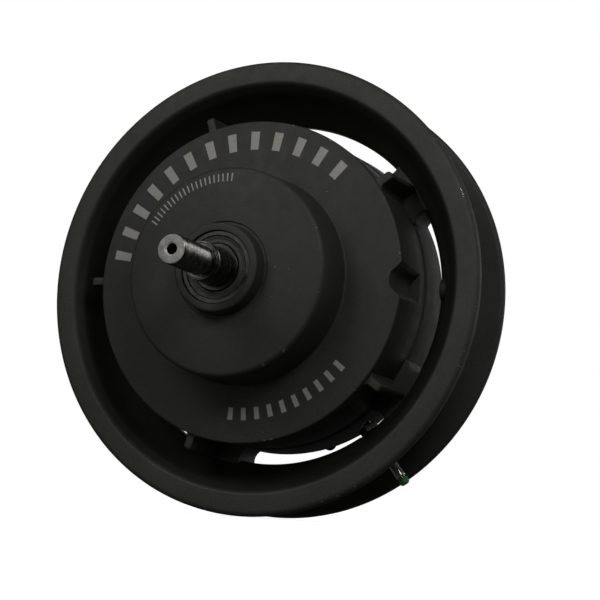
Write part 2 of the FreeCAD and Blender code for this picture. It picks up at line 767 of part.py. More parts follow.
# ================================================================ valve
def valve_tube(outer, inner, r0, r1):
    """Round tube along the valve's axis from radius r0 to r1."""
    body = rod_out(outer, r0, r1, VALVE_Y)
    if inner > 0:
        body = body.cut(rod_out(inner, r0 - 1, r1 + 1, VALVE_Y))
    return turn_to(body, VALVE_DEG)


def valve_stem():
    seat = WELL_R + GROMMET_T
    stem = valve_tube(STEM_R, 0, STEM_FOOT, STEM_TOP)
    stem = stem.fuse(valve_tube(STEM_HEAD_R, 0, seat, seat + STEM_HEAD_T))
    stem = stem.fuse(valve_tube(NECK_R, 0, STEM_TOP, NECK_TOP))
    return stem.cut(valve_tube(STEM_BORE_R, 0, NECK_TOP - STEM_BORE, NECK_TOP + 1))


def valve_grommet():
    return valve_tube(GROMMET_R, STEM_R, WELL_R, WELL_R + GROMMET_T)


def valve_nut():
    top = THROAT_R + NUT_SINK
    corners = [V(0, y, z) for y, z in hexagon(NUT_AF)]
    face = Part.Face(Part.makePolygon(corners + corners[:1]))
    face.translate(V(top - NUT_T, VALVE_Y, 0))
    body = turn_to(face.extrude(V(NUT_T, 0, 0)), VALVE_DEG)
    return body.cut(valve_tube(STEM_R + CLEAR, 0, top - NUT_T - 1, top + 1))


def valve_core():
    core_top = NECK_TOP - 2.0
    core = valve_tube(CORE_R, 0, NECK_TOP - STEM_BORE + 2, core_top)
    return core.fuse(valve_tube(CORE_PIN_R, 0, core_top, NECK_TOP - 0.4))


def valve_cap():
    cap = valve_tube(CAP_R, 0, CAP_Y0, CAP_TOP)
    return cap.cut(valve_tube(NECK_R + CLEAR, 0, CAP_Y0 - 1, NECK_TOP + 0.3))


# ================================================================ build
def main():
    os.makedirs("parts", exist_ok=True)
    rim = full_rim()
    front, barrel, rear = rim_slices(rim)
    save(front, "rim_front_flange")
    save(barrel, "rim_barrel")
    save(rear, "rim_rear_flange")
    save(motor_shell(), "motor_shell")
    one_spoke = spoke()
    for k in range(SPOKES):
        save(turn_to(one_spoke, SPOKE_FIRST + k * 360.0 / SPOKES), "spoke_" + str(k + 1))
    save(rear_cover(), "rear_cover")
    save(cover_gasket(), "cover_gasket")
    save(cover_screws(), "cover_screws")
    save(retaining_ring(), "rear_retaining_ring")
    for name, y0 in (("front", FRONT_BRG_Y), ("rear", REAR_BRG_Y - BRG_W)):
        inner, outer, balls, cage = bearing(y0)
        save(inner, name + "_bearing_inner")
        save(outer, name + "_bearing_outer")
        save(balls, name + "_bearing_balls")
        save(cage, name + "_bearing_cage")
    save(seal(FRONT_BRG_Y, 1), "front_bearing_seal")
    save(seal(REAR_BRG_Y, -1), "rear_bearing_seal")
    save(axle(), "axle")
    save(key_block(), "axle_key")
    save(spacer(FRONT_THREAD_Y, FRONT_BRG_Y), "front_spacer")
    save(spacer(REAR_BRG_Y, REAR_THREAD_Y), "rear_spacer")
    save(cable_gland(), "cable_gland")
    save(stator_hub(), "stator_hub")
    save(lamination(STACK_Y0, STACK_Y1), "stator_core")
    save(lamination(STACK_Y0 - INSULATOR_T, STACK_Y0), "end_insulator_front")
    save(lamination(STACK_Y1, STACK_Y1 + INSULATOR_T), "end_insulator_rear")
    for phase, letter in enumerate("abc"):
        save(phase_coils(phase), "coils_phase_" + letter)
    save(hall_board(), "hall_board")
    save(board_standoffs(), "board_standoffs")
    save(board_screws(), "board_screws")
    for index in (1, 2, 3):
        save(hall_sensor(index - 1), "hall_sensor_" + str(index))
    save(back_iron(), "back_iron")
    save(magnet_group(0), "magnets_north")
    save(magnet_group(1), "magnets_south")
    save(valve_stem(), "valve_stem")
    save(valve_grommet(), "valve_grommet")
    save(valve_nut(), "valve_nut")
    save(valve_core(), "valve_core")
    save(valve_cap(), "valve_cap")


main()
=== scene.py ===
import math
import bmesh
import bpy
from mathutils import Matrix, Vector


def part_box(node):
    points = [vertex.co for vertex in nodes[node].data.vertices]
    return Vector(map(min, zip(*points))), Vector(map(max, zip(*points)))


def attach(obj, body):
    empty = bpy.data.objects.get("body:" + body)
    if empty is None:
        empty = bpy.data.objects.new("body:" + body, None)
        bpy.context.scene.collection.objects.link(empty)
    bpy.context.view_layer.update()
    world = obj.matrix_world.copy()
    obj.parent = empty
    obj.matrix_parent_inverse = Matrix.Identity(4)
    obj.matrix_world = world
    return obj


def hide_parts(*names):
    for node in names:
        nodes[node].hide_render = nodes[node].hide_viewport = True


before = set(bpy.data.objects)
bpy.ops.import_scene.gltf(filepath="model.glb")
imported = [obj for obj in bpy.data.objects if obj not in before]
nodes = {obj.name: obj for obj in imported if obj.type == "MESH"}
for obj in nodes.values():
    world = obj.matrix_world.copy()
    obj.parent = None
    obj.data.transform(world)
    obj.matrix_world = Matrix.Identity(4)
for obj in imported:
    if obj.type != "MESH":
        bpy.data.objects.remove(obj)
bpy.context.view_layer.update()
MM = 0.001

# Hub motor wheel, as the camera sees it. The CAD nodes stay as they are and get their
# materials. The rim, the motor shell, the spokes, the axle, the sleeve, the seals and the
# valve are built again as fine meshes that stand for their nodes.
#
# The origin is the rim's centre, the axle lies along Y, the stepped cover faces -Y and +Z
# is up. Angles about the axle are counted from +X towards +Z.

# ------------------------------------------------------------------ sizes of the rim, in mm
flange_lo, flange_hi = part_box("rim_front_flange")
RIM_R = min(-flange_lo.x, -flange_lo.z, flange_hi.x, flange_hi.z) / MM
RIM_HALF = -flange_lo.y / MM
FLANGE_IN = -flange_hi.y / MM
FLANGE_ROUND = 3.0       # rounding of the flange's edge on the outer side
FLANGE_ROUND_IN = 2.2    # and on the tyre side
LIP_R = 104.0            # where the flat flange face turns into the dish
LIP_ROUND = 2.0
DISH_R = 99.6
DISH_Y = 22.0
DISH_ROUND = 8.0
THROAT_R = 88.2          # smallest radius on the hub side
THROAT_Y0 = 2.0
THROAT_Y1 = 6.0
THROAT_ROUND = 3.0
SEAT_OUT_R = 101.9       # bead seat beside the flange
SEAT_OUT_ROUND = 1.0
SEAT_IN_R = 101.0        # bead seat beside the well
SEAT_IN_Y = 14.0
SEAT_IN_ROUND = 1.5
WELL_R = 93.0
WELL_Y = 3.0
WELL_HALF = 5.0
WELL_ROUND = 2.0
VALVE_HOLE_R = 4.15      # spare valve hole, at +X
VALVE_HOLE_Y = -3.9
VALVE_BOSS_R = 5.5
VALVE_BOSS_FACE = 90.2
VALVE_BOSS_ROUND = 0.4
VALVE_BOSS_TOP = WELL_R + 0.5    # just outside the bottom of the well
CUT_IN = THROAT_R - 5    # cutters for the holes in the rim start at this radius
CUT_OUT = WELL_R + 8     # and end at this one

# ------------------------------------------------------------------ sizes of the motor shell
shell_lo, shell_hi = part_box("motor_shell")
bearing_lo, bearing_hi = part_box("front_bearing_outer")
DRUM_R = 80.3
DRUM_ROUND = 1.0
FACE_Y = -37.6           # front annulus at its outer edge
FACE_RISE = 0.8          # the annulus rises slightly towards the step
STRIP_R0 = 81.0          # front edge of the slightly conical band at the back
STRIP_R = shell_hi.x / MM
STRIP_Y0 = 0.5
STRIP_ROUND0 = 0.4
STRIP_ROUND = 0.6
SEAM_W = 1.1             # shallow groove between drum and band
SEAM_D = 0.7
SEAM_ROUND = 0.15
STEP_Y = -63.3
STEP_RISE = 2.6          # the step's face rises towards the boss
STEP_R = 50.7
STEP_ROUND = 2.4
STEP_BASE_R = 52.0
STEP_BASE_ROUND = 1.2
BOSS_Y = shell_lo.y / MM
BOSS_R = 21.3
BOSS_ROUND = 1.5
BOSS_BASE_R = 22.0
BOSS_BASE_ROUND = 0.6
RELIEF_R = 23.4          # shallow ring groove round the foot of the boss
RELIEF_D = 0.7
RELIEF_FLOOR_ROUND = 0.2
RELIEF_EDGE_ROUND = 0.3
SHELL_Y1 = shell_hi.y / MM
BRG_R = bearing_hi.x / MM
BRG_FACE = bearing_lo.y / MM
BRG_W = 10.0
BRG_SEAT_ROUND = 0.4
CAVITY_R = 76.3          # bore that holds the back iron
CAVITY_Y0 = -8.0
CHAMBER_R = 70.0         # hollow in front of the back iron
CHAMBER_Y0 = -32.6
STEP_IN_R = 46.5         # hollow of the step
STEP_IN_Y0 = -58.8
CAVITY_ROUND = 4.0
CAVITY_EDGE_ROUND = 2.0
SHOULDER_R = 14.5
# access groove: floor radius, half floor width, radius and half width where the flare starts
GROOVE_FRONT = (74.0, 3.1, 78.6, 7.3)
GROOVE_BACK = (75.4, 3.2, 78.4, 5.2)
GROOVE_Y1 = -8.8
GROOVE_ROUND = 5.0
GROOVE_WALL_ROUND = 2.5
GROOVE_EASE = 5.0        # how far the flare widens the groove
GROOVE_LEAD = 5.0        # how far the cutter stands out in front
GROOVE_MOUTH = 2.0       # the flare ends this far outside the drum
GROOVE_TOP = 12.0        # and the cutter this far
GROOVE_STEPS = 10        # steps of each rounded corner

# ------------------------------------------------------------------ sizes of the spokes
SPOKE_FIRST = 36.0       # degrees from +X to the first spoke
SPOKES = 5
SPOKE_SINK = 2.0         # how far block and rib run into the drum
RIM_SINK = 1.2           # how far the block runs into the rim
BLOCK_HALF = 13.2        # half width of the block at its waist
BLOCK_ROOT = 15.4        # half width where it meets the drum and the rim
BLOCK_WAIST = 4.8        # radial reach of the waist either side of its middle
BLOCK_MID_R = 85.0
BLOCK_Y0 = -2.0
BLOCK_Y1 = 20.0
BLOCK_ROUND = 1.0
BLOCK_ROUND_STEPS = 4
BLOCK_MID_Y = 12.0       # one section in the long stretch behind the throat
BLOCK_COUNT = 25         # points along each flank of a section
THROAT_BEND = 0.8        # a section stands this far either side of each bend of the throat
RIB_Y0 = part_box("spoke_3")[0].y / MM
RIB_R = 88.2
RIB_W = 4.0
RIB_SLOPE = 1.6          # how much further out the rib ends at the block
RIB_CROWN = 1.1          # rounding along the top of the rib
RIB_NOSE = 1.6           # rounding of its front corner
RIB_EDGE = 0.55          # rounding of its front edges
RIB_FOOT_H = 1.8         # height of the fillet at its foot
RIB_FOOT_W = 1.6         # width of the fillet on each side
RIB_END = 2.0            # how far the rib runs into the block
RIB_COUNT = 33
# distances of the rib's sections from its front end, close together along its roundings
RIB_SECTIONS = (0.0, 0.12, 0.3, 0.55, 0.9, 1.6, 6.0, 12.0, 18.0, 24.0, 30.0)

# ------------------------------------------------------------------ sizes of the rear cover
COVER_R = 81.8
COVER_LIP_Y = 26.5
BRAKE_BOSS_R = 31.0
BRAKE_FACE_Y = 51.5

# ------------------------------------------------------------------ sizes of the axle
axle_lo, axle_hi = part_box("axle")
AXLE_Y0 = axle_lo.y / MM
AXLE_Y1 = axle_hi.y / MM
THREAD_R = 7.0
THREAD_PITCH = 1.5
THREAD_DEPTH = 0.85
THREAD_CREST = 0.1       # share of half a pitch that the flat crest takes
THREAD_FLANK = 0.78      # share that the flank takes
THREAD_RUN_OUT = 2.2
THREAD_ROWS = 10         # rows to a pitch
THREAD_CHAMFER = 0.5
THREAD_START = 0.05      # gap between an end face and the first row of its thread
FRONT_THREAD_Y = -89.7
REAR_THREAD_Y = 60.3
FLAT_HALF = 6.6          # half the distance across the two flats
END_R = THREAD_R - THREAD_CHAMFER - 0.1   # edge of the end faces, just inside the chamfer
END_HOLE_R = 2.5
END_HOLE_DEPTH = 12.0
END_HOLE_CONE = 1.0
END_SINK_R = 3.2
END_SINK_DEPTH = 0.7
SHAFT_R = 8.5            # bearing seats
SHAFT_CHAMFER = 0.3
MID_R = 10.0
HUB_R = 12.0             # seat of the stator hub
FRONT_SHOULDER_Y = -62.5
REAR_SHOULDER_Y = 38.5
HUB_Y0 = -9.5
HUB_Y1 = 20.5
CABLE_R = 3.8
CABLE_Y0 = 27.0
CABLE_CONE = 0.5
AXLE_SHARP = 28.0        # edges sharper than this many degrees stay sharp

# ------------------------------------------------------------------ sizes of sleeve and seals
SLEEVE_R = 9.1
SLEEVE_ROUND = 0.3
SNAP_R = 8.75            # groove near the sleeve's free end
SNAP_AT = 1.6
SNAP_W = 1.3             # width of the groove at the surface
SNAP_SLOPE = 0.3
COLLAR_R = 9.4           # collar at the bearing
COLLAR_W = 3.1
COLLAR_SLOPE = 0.3
COLLAR_ROUND = 0.15
COLLAR_CHAMFER = 0.25
COLLAR_CHAMFER_ROUND = 0.2
SEAL_T = 0.6
SEAL_IN_R = 11.6
SEAL_OUT_R = 15.2
SEAL_SECTION = (
    # radius, depth as a share of the thickness, corner radius
    (SEAL_IN_R, 0.5, 0.0),
    (12.0, 0.15, 0.1),
    (12.5, 0.15, 0.0),
    (12.8, 0.45, 0.0),
    (13.9, 0.45, 0.0),
    (14.2, 0.1, 0.0),
    (14.9, 0.0, 0.1),
    (SEAL_OUT_R, 0.5, 0.0),
    (SEAL_OUT_R, 1.0, 0.0),
    (SEAL_IN_R, 1.0, 0.0),
)

# ------------------------------------------------------------------ sizes of the valve
VALVE_DEG = -51.8        # degrees from +X
VALVE_Y = 3.0
VALVE_BORE_R = 2.65      # hole in the rim
SPOT_R = 5.85            # spot face of the nut
SPOT_SINK = 0.6
STEM_FOOT = 83.0         # distances along the valve are counted from the axle
STEM_TOP = 116.0
STEM_R = 2.6
STEM_FOOT_R = 1.9
STEM_TIP_R = 2.3
STEM_TIP_H = 0.5
STEM_TOP_ROUND = 0.5
STEM_PLAIN_R = 2.55      # plain stretch inside the rim's wall
STEM_PLAIN = THROAT_R + 1.2
STEM_SEAT = WELL_R + 1.4
FOOT_THREAD = (0.35, 0.7)    # depth and pitch
FOOT_THREAD_START = STEM_FOOT + 0.8
FOOT_THREAD_END = THROAT_R + 0.8
HEAD_R = 4.0
HEAD_T = 1.8
HEAD_LOW_R = 3.9
HEAD_LOW_ROUND = 0.2
HEAD_HIGH_R = 3.4
HEAD_ROUND = 0.3
NECK_R = 1.9
NECK_START = STEM_TOP + 0.1
NECK_TOP = 118.6
NECK_THREAD = (0.25, 0.6)
NECK_THREAD_START = STEM_TOP + 0.5
NECK_THREAD_END = NECK_TOP - 0.3
NECK_PLAIN_END = STEM_TOP + 0.4
NECK_TIP_R = 1.6
BORE_R = 1.2
BORE_DEPTH = 14.0
BORE_CONE = 0.2
CAP_R = 2.6
CAP_IN_R = 1.95
CAP_TOP_R = 1.9
CAP_LOW = NECK_TOP - 1.3
CAP_SHOULDER = NECK_TOP + 0.7
CAP_HIGH = NECK_TOP + 1.6
CAP_GAP = 0.3
CAP_LOW_ROUND = 0.2
CAP_SHOULDER_ROUND = 0.4
CAP_TOP_ROUND = 0.5
NUT_ROUND = 0.3
RING_CREST_START = 0.35  # the crest of a ring thread lies between these shares of its pitch
RING_CREST_END = 0.6

# ------------------------------------------------------------------ fineness of the meshes
CASTING_TURN = 360       # steps round a whole turn
AXLE_TURN = 144
STEM_TURN = 96
CAP_TURN = 72
ROD_TURN = 48
FLOOR_TURN = 128
CORNER_STEPS = 6         # steps of a rounded corner
VALVE_CORNER_STEPS = 4
TURN_SHIFT = 0.37        # rings start this share of a step from +X, clear of every hole's axis
WELD = 1e-7              # vertices nearer than this many metres are one
THIN = 1e-14             # faces smaller than this many square metres are dropped
SHARP_DEG = 35.0
BEVEL_DEG = 40.0
BEVEL_STEPS = 2


# ------------------------------------------------------------------ mesh helpers
def rounded(points, steps=CORNER_STEPS):
    """Closed outline from (x, y) or (x, y, corner radius) points, with arcs as corners."""
    out = []
    count = len(points)
    for i, p in enumerate(points):
        here = Vector(p[:2])
        if len(p) < 3 or p[2] <= 0:
            out.append(here)
            continue
        before = (Vector(points[i - 1][:2]) - here).normalized()
        after = (Vector(points[(i + 1) % count][:2]) - here).normalized()
        half = math.acos(max(-1.0, min(1.0, before.dot(after)))) / 2
        reach = p[2] / math.tan(half)
        centre = here + (before + after).normalized() * (p[2] / math.sin(half))
        start = here + before * reach - centre
        end = here + after * reach - centre
        sweep = start.angle_signed(end)
        for k in range(steps + 1):
            out.append(centre + Matrix.Rotation(-sweep * k / steps, 2) @ start)
    return out


def smooth(mesh, sharp):
    mesh.shade_smooth()
    mesh.set_sharp_from_angle(angle=math.radians(sharp))


def link_object(name, data):
    obj = bpy.data.objects.new(name, data)
    bpy.context.scene.collection.objects.link(obj)
    return obj


def new_object(name, bm, sharp=SHARP_DEG):
    bmesh.ops.remove_doubles(bm, verts=bm.verts, dist=WELD)
    bmesh.ops.recalc_face_normals(bm, faces=bm.faces)
    mesh = bpy.data.meshes.new(name)
    bm.to_mesh(mesh)
    bm.free()
    smooth(mesh, sharp)
    return link_object(name, mesh)


def skin(bm, rings):
    """Quads between each ring of vertices and the next."""
    for low, high in zip(rings, rings[1:]):
        for i in range(len(low)):
            j = (i + 1) % len(low)
            bm.faces.new((low[i], low[j], high[j], high[i]))


def lathe_bm(points, segments):
    """Surface of revolution about the axle from a closed outline of (radius, y) in mm."""
    bm = bmesh.new()
    rings = []
    for k in range(segments):
        a = 2 * math.pi * (k + TURN_SHIFT) / segments
        c, s = math.cos(a) * MM, math.sin(a) * MM
        rings.append([bm.verts.new((p[0] * c, p[1] * MM, p[0] * s)) for p in points])
    skin(bm, rings + rings[:1])
    bmesh.ops.remove_doubles(bm, verts=bm.verts, dist=WELD)
    thin = [f for f in bm.faces if f.calc_area() < THIN]
    bmesh.ops.delete(bm, geom=thin, context="FACES")
    return bm


def lathe(name, points, segments):
    return new_object(name, lathe_bm(rounded(points), segments))


def loft(rows):
    """Closed bmesh skin over equal rings of (x, y, z) points in mm, with flat ends."""
    bm = bmesh.new()
    rings = [[bm.verts.new((p[0] * MM, p[1] * MM, p[2] * MM)) for p in row] for row in rows]
    skin(bm, rings)
    n = len(rows[0])
    for ring in (rings[0], rings[-1]):
        for i in range(n // 2 - 1):
            bm.faces.new((ring[i], ring[i + 1], ring[n - 2 - i], ring[n - 1 - i]))
    return bm


def bake(obj):
    """Applies every modifier of obj."""
    depsgraph = bpy.context.evaluated_depsgraph_get()
    depsgraph.update()
    mesh = bpy.data.meshes.new_from_object(obj.evaluated_get(depsgraph))
    old = obj.data
    obj.modifiers.clear()
    obj.data = mesh
    bpy.data.meshes.remove(old)
    smooth(mesh, SHARP_DEG)


def boolean(obj, other, operation):
    mod = obj.modifiers.new("bool", "BOOLEAN")
    mod.operation = operation
    mod.solver = "EXACT"
    mod.object = other
    bake(obj)
    bpy.data.objects.remove(other)


def bevel(obj, width):
    mod = obj.modifiers.new("bevel", "BEVEL")
    mod.width = width * MM
    mod.segments = BEVEL_STEPS
    mod.limit_method = "ANGLE"
    mod.angle_limit = math.radians(BEVEL_DEG)
    mod.use_clamp_overlap = True
    bake(obj)


def turn(obj, degrees):
    """Turns the mesh about the axle from +X towards +Z."""
    obj.data.transform(Matrix.Rotation(-math.radians(degrees), 4, "Y"))
    return obj


def lay_along_x(obj, y):
    """Lays a mesh that was turned about the axle along +X, at y on the axle."""
    obj.data.transform(Matrix.Translation((0, y * MM, 0)) @ Matrix.Rotation(-math.pi / 2, 4, "Z"))


def radial_rod(name, radius, r0, r1, y):
    """Round bar along +X, from r0 to r1."""
    points = [Vector(p) for p in ((0, r0), (radius, r0), (radius, r1), (0, r1))]
    obj = new_object(name, lathe_bm(points, ROD_TURN))
    lay_along_x(obj, y)
    return obj


# ------------------------------------------------------------------ material helpers
def new_material(name):
    """Material, its node tree and its shader."""
    m = bpy.data.materials.new(name)
    m.use_nodes = True
    t = m.node_tree
    return m, t, t.nodes["Principled BSDF"]


def scaled(colour, factor):
    return tuple(min(1.0, factor * c) for c in colour)


def math_node(t, op, a, b=None):
    n = t.nodes.new("ShaderNodeMath")
    n.operation = op
    for i, v in enumerate((a, b)):
        if v is None:
            continue
        if isinstance(v, (int, float)):
            n.inputs[i].default_value = v
        else:
            t.links.new(v, n.inputs[i])
    return n.outputs[0]


def product(t, a, b):
    return math_node(t, "MULTIPLY", a, b)


def colour_product(t, a, b):
    n = t.nodes.new("ShaderNodeVectorMath")
    n.operation = "MULTIPLY"
    t.links.new(a, n.inputs[0])
    t.links.new(b, n.inputs[1])
    return n.outputs[0]


def object_coords(t):
    return t.nodes.new("ShaderNodeTexCoord").outputs["Object"]


def polar(t):
    """Object coordinates, and the radius, angle and place along the axle made from them."""
    coords = object_coords(t)
    sep = t.nodes.new("ShaderNodeSeparateXYZ")
    t.links.new(coords, sep.inputs[0])
    x, y, z = sep.outputs
    r = math_node(t, "SQRT", math_node(t, "ADD", product(t, x, x), product(t, z, z)))
    angle = math_node(t, "ARCTAN2", z, x)
    return coords, r, angle, y


def noise(t, coords, scale, detail=3.0, rough=0.55):
    n = t.nodes.new("ShaderNodeTexNoise")
    n.inputs["Scale"].default_value = scale
    n.inputs["Detail"].default_value = detail
    n.inputs["Roughness"].default_value = rough
    t.links.new(coords, n.inputs["Vector"])
    return n.outputs["Fac"]


def ramp(t, fac, stops):
    """Colour ramp over fac from (position, grey or colour) stops."""
    n = t.nodes.new("ShaderNodeValToRGB")
    elements = n.color_ramp.elements
    while len(elements) < len(stops):
        elements.new(0.5)
    for element, (position, colour) in zip(elements, stops):
        element.position = position
        element.color = (colour, colour, colour, 1) if isinstance(colour, (int, float)) else (*colour, 1)
    t.links.new(fac, n.inputs["Fac"])
    return n.outputs["Color"]


def mix(t, fac, a, b):
    """Colour a where fac is 0 and b where it is 1; each is a socket or a fixed colour."""
    n = t.nodes.new("ShaderNodeMix")
    n.data_type = "RGBA"
    t.links.new(fac, n.inputs["Factor"])
    for key, v in (("A", a), ("B", b)):
        sock = [s for s in n.inputs if s.name == key and s.type == "RGBA"][0]
        if isinstance(v, tuple):
            sock.default_value = (*v, 1)
        else:
            t.links.new(v, sock)
    return [s for s in n.outputs if s.type == "RGBA"][0]


def bump(t, shader, height, strength, distance):
    n = t.nodes.new("ShaderNodeBump")
    n.inputs["Strength"].default_value = strength
    n.inputs["Distance"].default_value = distance
    t.links.new(height, n.inputs["Height"])
    t.links.new(n.outputs["Normal"], shader.inputs["Normal"])


def band(t, value, low, high):
    """1 where value lies between low and high, else 0."""
    above = math_node(t, "GREATER_THAN", value, low)
    below = math_node(t, "LESS_THAN", value, high)
    return product(t, above, below)


def near_edge(t, r, y, edge_r, edge_y, reach):
    """1 within reach of the circle of radius edge_r at edge_y, else 0."""
    dr = math_node(t, "SUBTRACT", r, edge_r * MM)
    dy = math_node(t, "SUBTRACT", y, edge_y * MM)
    square = math_node(t, "ADD", product(t, dr, dr), product(t, dy, dy))
    return math_node(t, "LESS_THAN", square, (reach * MM) ** 2)


# ------------------------------------------------------------------ powder coat
def powder_colour(t, coords, fine, base):
    """Soft mottling, light grains and a few specks of dust on the base colour."""
    cloud = noise(t, coords, 38.0, 4.0)
    mottled = ramp(t, cloud, [(0.35, scaled(base, 0.86)), (0.65, scaled(base, 1.12))])
    grainy = mix(t, ramp(t, fine, [(0.42, 0.0), (0.6, 0.35)]), mottled, scaled(base, 1.75))
    dots = t.nodes.new("ShaderNodeTexVoronoi")
    dots.inputs["Scale"].default_value = 210.0
    t.links.new(coords, dots.inputs["Vector"])
    small = math_node(t, "LESS_THAN", dots.outputs["Distance"], 0.055)
    chosen = math_node(t, "GREATER_THAN", noise(t, coords, 95.0, 1.0), 0.66)
    return mix(t, product(t, small, chosen), grainy, (0.22, 0.22, 0.2))


def chipped(t, coords, r, y, edges):
    """1 on the small chips along the edges, given as (radius, y, reach)."""
    worn = None
    for edge_r, edge_y, reach in edges:
        hit = near_edge(t, r, y, edge_r, edge_y, reach)
        worn = hit if worn is None else math_node(t, "MAXIMUM", worn, hit)
    flakes = math_node(t, "GREATER_THAN", noise(t, coords, 330.0, 3.0, 0.7), 0.655)
    sparse = math_node(t, "GREATER_THAN", noise(t, coords, 42.0, 1.0), 0.5)
    return product(t, worn, product(t, flakes, sparse))


def painted_dish_shade(t, r, y):
    """Painted shade: how far the paint is darkened on the dish inside the lip; full colour elsewhere.

    The places on both ramps are shares of twice the lip's radius and twice the dish's depth.
    """
    side = math_node(t, "ABSOLUTE", y)
    lip_share = product(t, r, 0.5 / (LIP_R * MM))
    by_radius = ramp(t, lip_share, [(0.492, 0.2), (0.4993, 1.0)])
    outside = math_node(t, "GREATER_THAN", side, (FLANGE_IN + 0.1) * MM)
    lip = mix(t, outside, (1.0, 1.0, 1.0), by_radius)
    depth_share = product(t, side, 0.5 / (DISH_Y * MM))
    by_depth = ramp(t, depth_share, [(0.1, 0.6), (0.42, 0.22)])
    return mix(t, math_node(t, "LESS_THAN", r, (DISH_R - 0.1) * MM), lip, by_depth)


def graduation(t, r, angle, y):
    """Generic graduation: evenly spaced bars on the annulus, and fine ticks on the step."""
    rows = (
        # inner and outer radius in mm, then first and last angle, pitch and width in degrees
        (65.6, 74.9, 48.0, 178.0, 10.0, 3.6),
        (63.0, 69.0, -94.0, -35.0, 6.0, 2.2),
        (43.4, 47.4, 88.0, 150.0, 3.0, 0.9),
    )
    degrees = product(t, angle, 180.0 / math.pi)
    total = None
    for r0, r1, first, last, pitch, width in rows:
        sector = product(t, band(t, r, r0 * MM, r1 * MM), band(t, degrees, first, last))
        along = math_node(t, "FLOORED_MODULO", math_node(t, "SUBTRACT", degrees, first), pitch)
        bar = product(t, sector, math_node(t, "LESS_THAN", along, width))
        total = bar if total is None else math_node(t, "MAXIMUM", total, bar)
    facing = math_node(t, "LESS_THAN", y, (FACE_Y + 1.5) * MM)
    return product(t, total, facing)


def powder_black(name, base, edges=(), marks=False, dish=False):
    """Matte black powder coat on a casting: fine grain, soft mottling, dust, worn edges, and with dish,
    painted shade on the dish inside the lip.
    """
    m, t, shader = new_material(name)
    coords, r, angle, y = polar(t)
    fine = noise(t, coords, 1500.0, 2.0, 0.6)
    colour = powder_colour(t, coords, fine, base)
    rough = ramp(t, noise(t, coords, 160.0, 3.0), [(0.3, 0.52), (0.7, 0.66)])
    if edges:
        chip = chipped(t, coords, r, y, edges)
        colour = mix(t, chip, colour, (0.34, 0.33, 0.31))
        rough = mix(t, chip, rough, (0.35, 0.35, 0.35))
        t.links.new(product(t, chip, 0.8), shader.inputs["Metallic"])
    if marks:
        ink = ramp(t, fine, [(0.3, 0.75), (0.6, 1.0)])
        colour = mix(t, product(t, graduation(t, r, angle, y), ink), colour, (0.42, 0.41, 0.36))
    # painted shade: the colour is darkened on the dish inside the lip
    if dish:
        colour = colour_product(t, colour, painted_dish_shade(t, r, y))
    t.links.new(colour, shader.inputs["Base Color"])
    t.links.new(rough, shader.inputs["Roughness"])
    shader.inputs["Specular IOR Level"].default_value = 0.38
    bump(t, shader, fine, 0.35, 0.00012)
    return m


def rim_paint():
    """Worn along the edges of both flanges and round the throat, with painted shade on the dish."""
    edges = (
        (RIM_R - 0.9, 0.9 - RIM_HALF, 1.2),
        (RIM_R - 0.9, RIM_HALF - 0.9, 1.2),
        (THROAT_R + 1.2, 0.0, 1.6),
    )
    return powder_black("powder_black_rim", (0.0445, 0.0445, 0.0372), edges, dish=True)


def shell_paint():
    """Worn along the edges of the step, the boss, the drum and the band, with graduation."""
    edges = (
        (STEP_R - 0.7, STEP_Y + 0.6, 1.0),
        (BOSS_R - 0.3, BOSS_Y + 0.3, 0.6),
        (DRUM_R - 0.2, FACE_Y + 0.3, 0.8),
        (STRIP_R0, STRIP_Y0, 0.5),
    )
    return powder_black("powder_black_shell", (0.0338, 0.0338, 0.0282), edges, marks=True)


def spoke_paint():
    """Whole paint, with no chips."""
    return powder_black("powder_black_spoke", (0.0362, 0.0362, 0.0302))


def cover_paint():
    """Worn along the edges of the brake boss and the cover's lip."""
    edges = ((BRAKE_BOSS_R, BRAKE_FACE_Y - 0.1, 0.8), (COVER_R, COVER_LIP_Y - 0.2, 0.8))
    return powder_black("powder_black_cover", (0.0362, 0.0362, 0.0302), edges)


# ------------------------------------------------------------------ metals and other finishes
def turned_metal(name, base, rough, lines=5200.0, stain=0.0, depth=0.25):
    """Metal with fine turning lines round the axle, and stains."""
    m, t, shader = new_material(name)
    coords, r, angle, y = polar(t)
    stretched = t.nodes.new("ShaderNodeCombineXYZ")
    t.links.new(r, stretched.inputs[0])
    t.links.new(product(t, angle, 0.0004), stretched.inputs[1])
    t.links.new(y, stretched.inputs[2])
    rings = noise(t, stretched.outputs[0], lines, 2.0, 0.6)
    cloud = noise(t, coords, 260.0, 4.0, 0.65)
    dark = scaled(base, 0.8 - 0.5 * stain)
    tone = ramp(t, cloud, [(0.38, dark), (0.62, scaled(base, 1.15))])
    lined = mix(t, ramp(t, rings, [(0.4, 0.0), (0.65, 0.4)]), tone, scaled(base, 0.62))
    gloss = ramp(t, cloud, [(0.3, rough * 0.75), (0.7, min(1.0, rough * 1.35))])
    t.links.new(lined, shader.inputs["Base Color"])
    t.links.new(gloss, shader.inputs["Roughness"])
    shader.inputs["Metallic"].default_value = 1.0
    bump(t, shader, rings, depth, 0.00004)
    return m


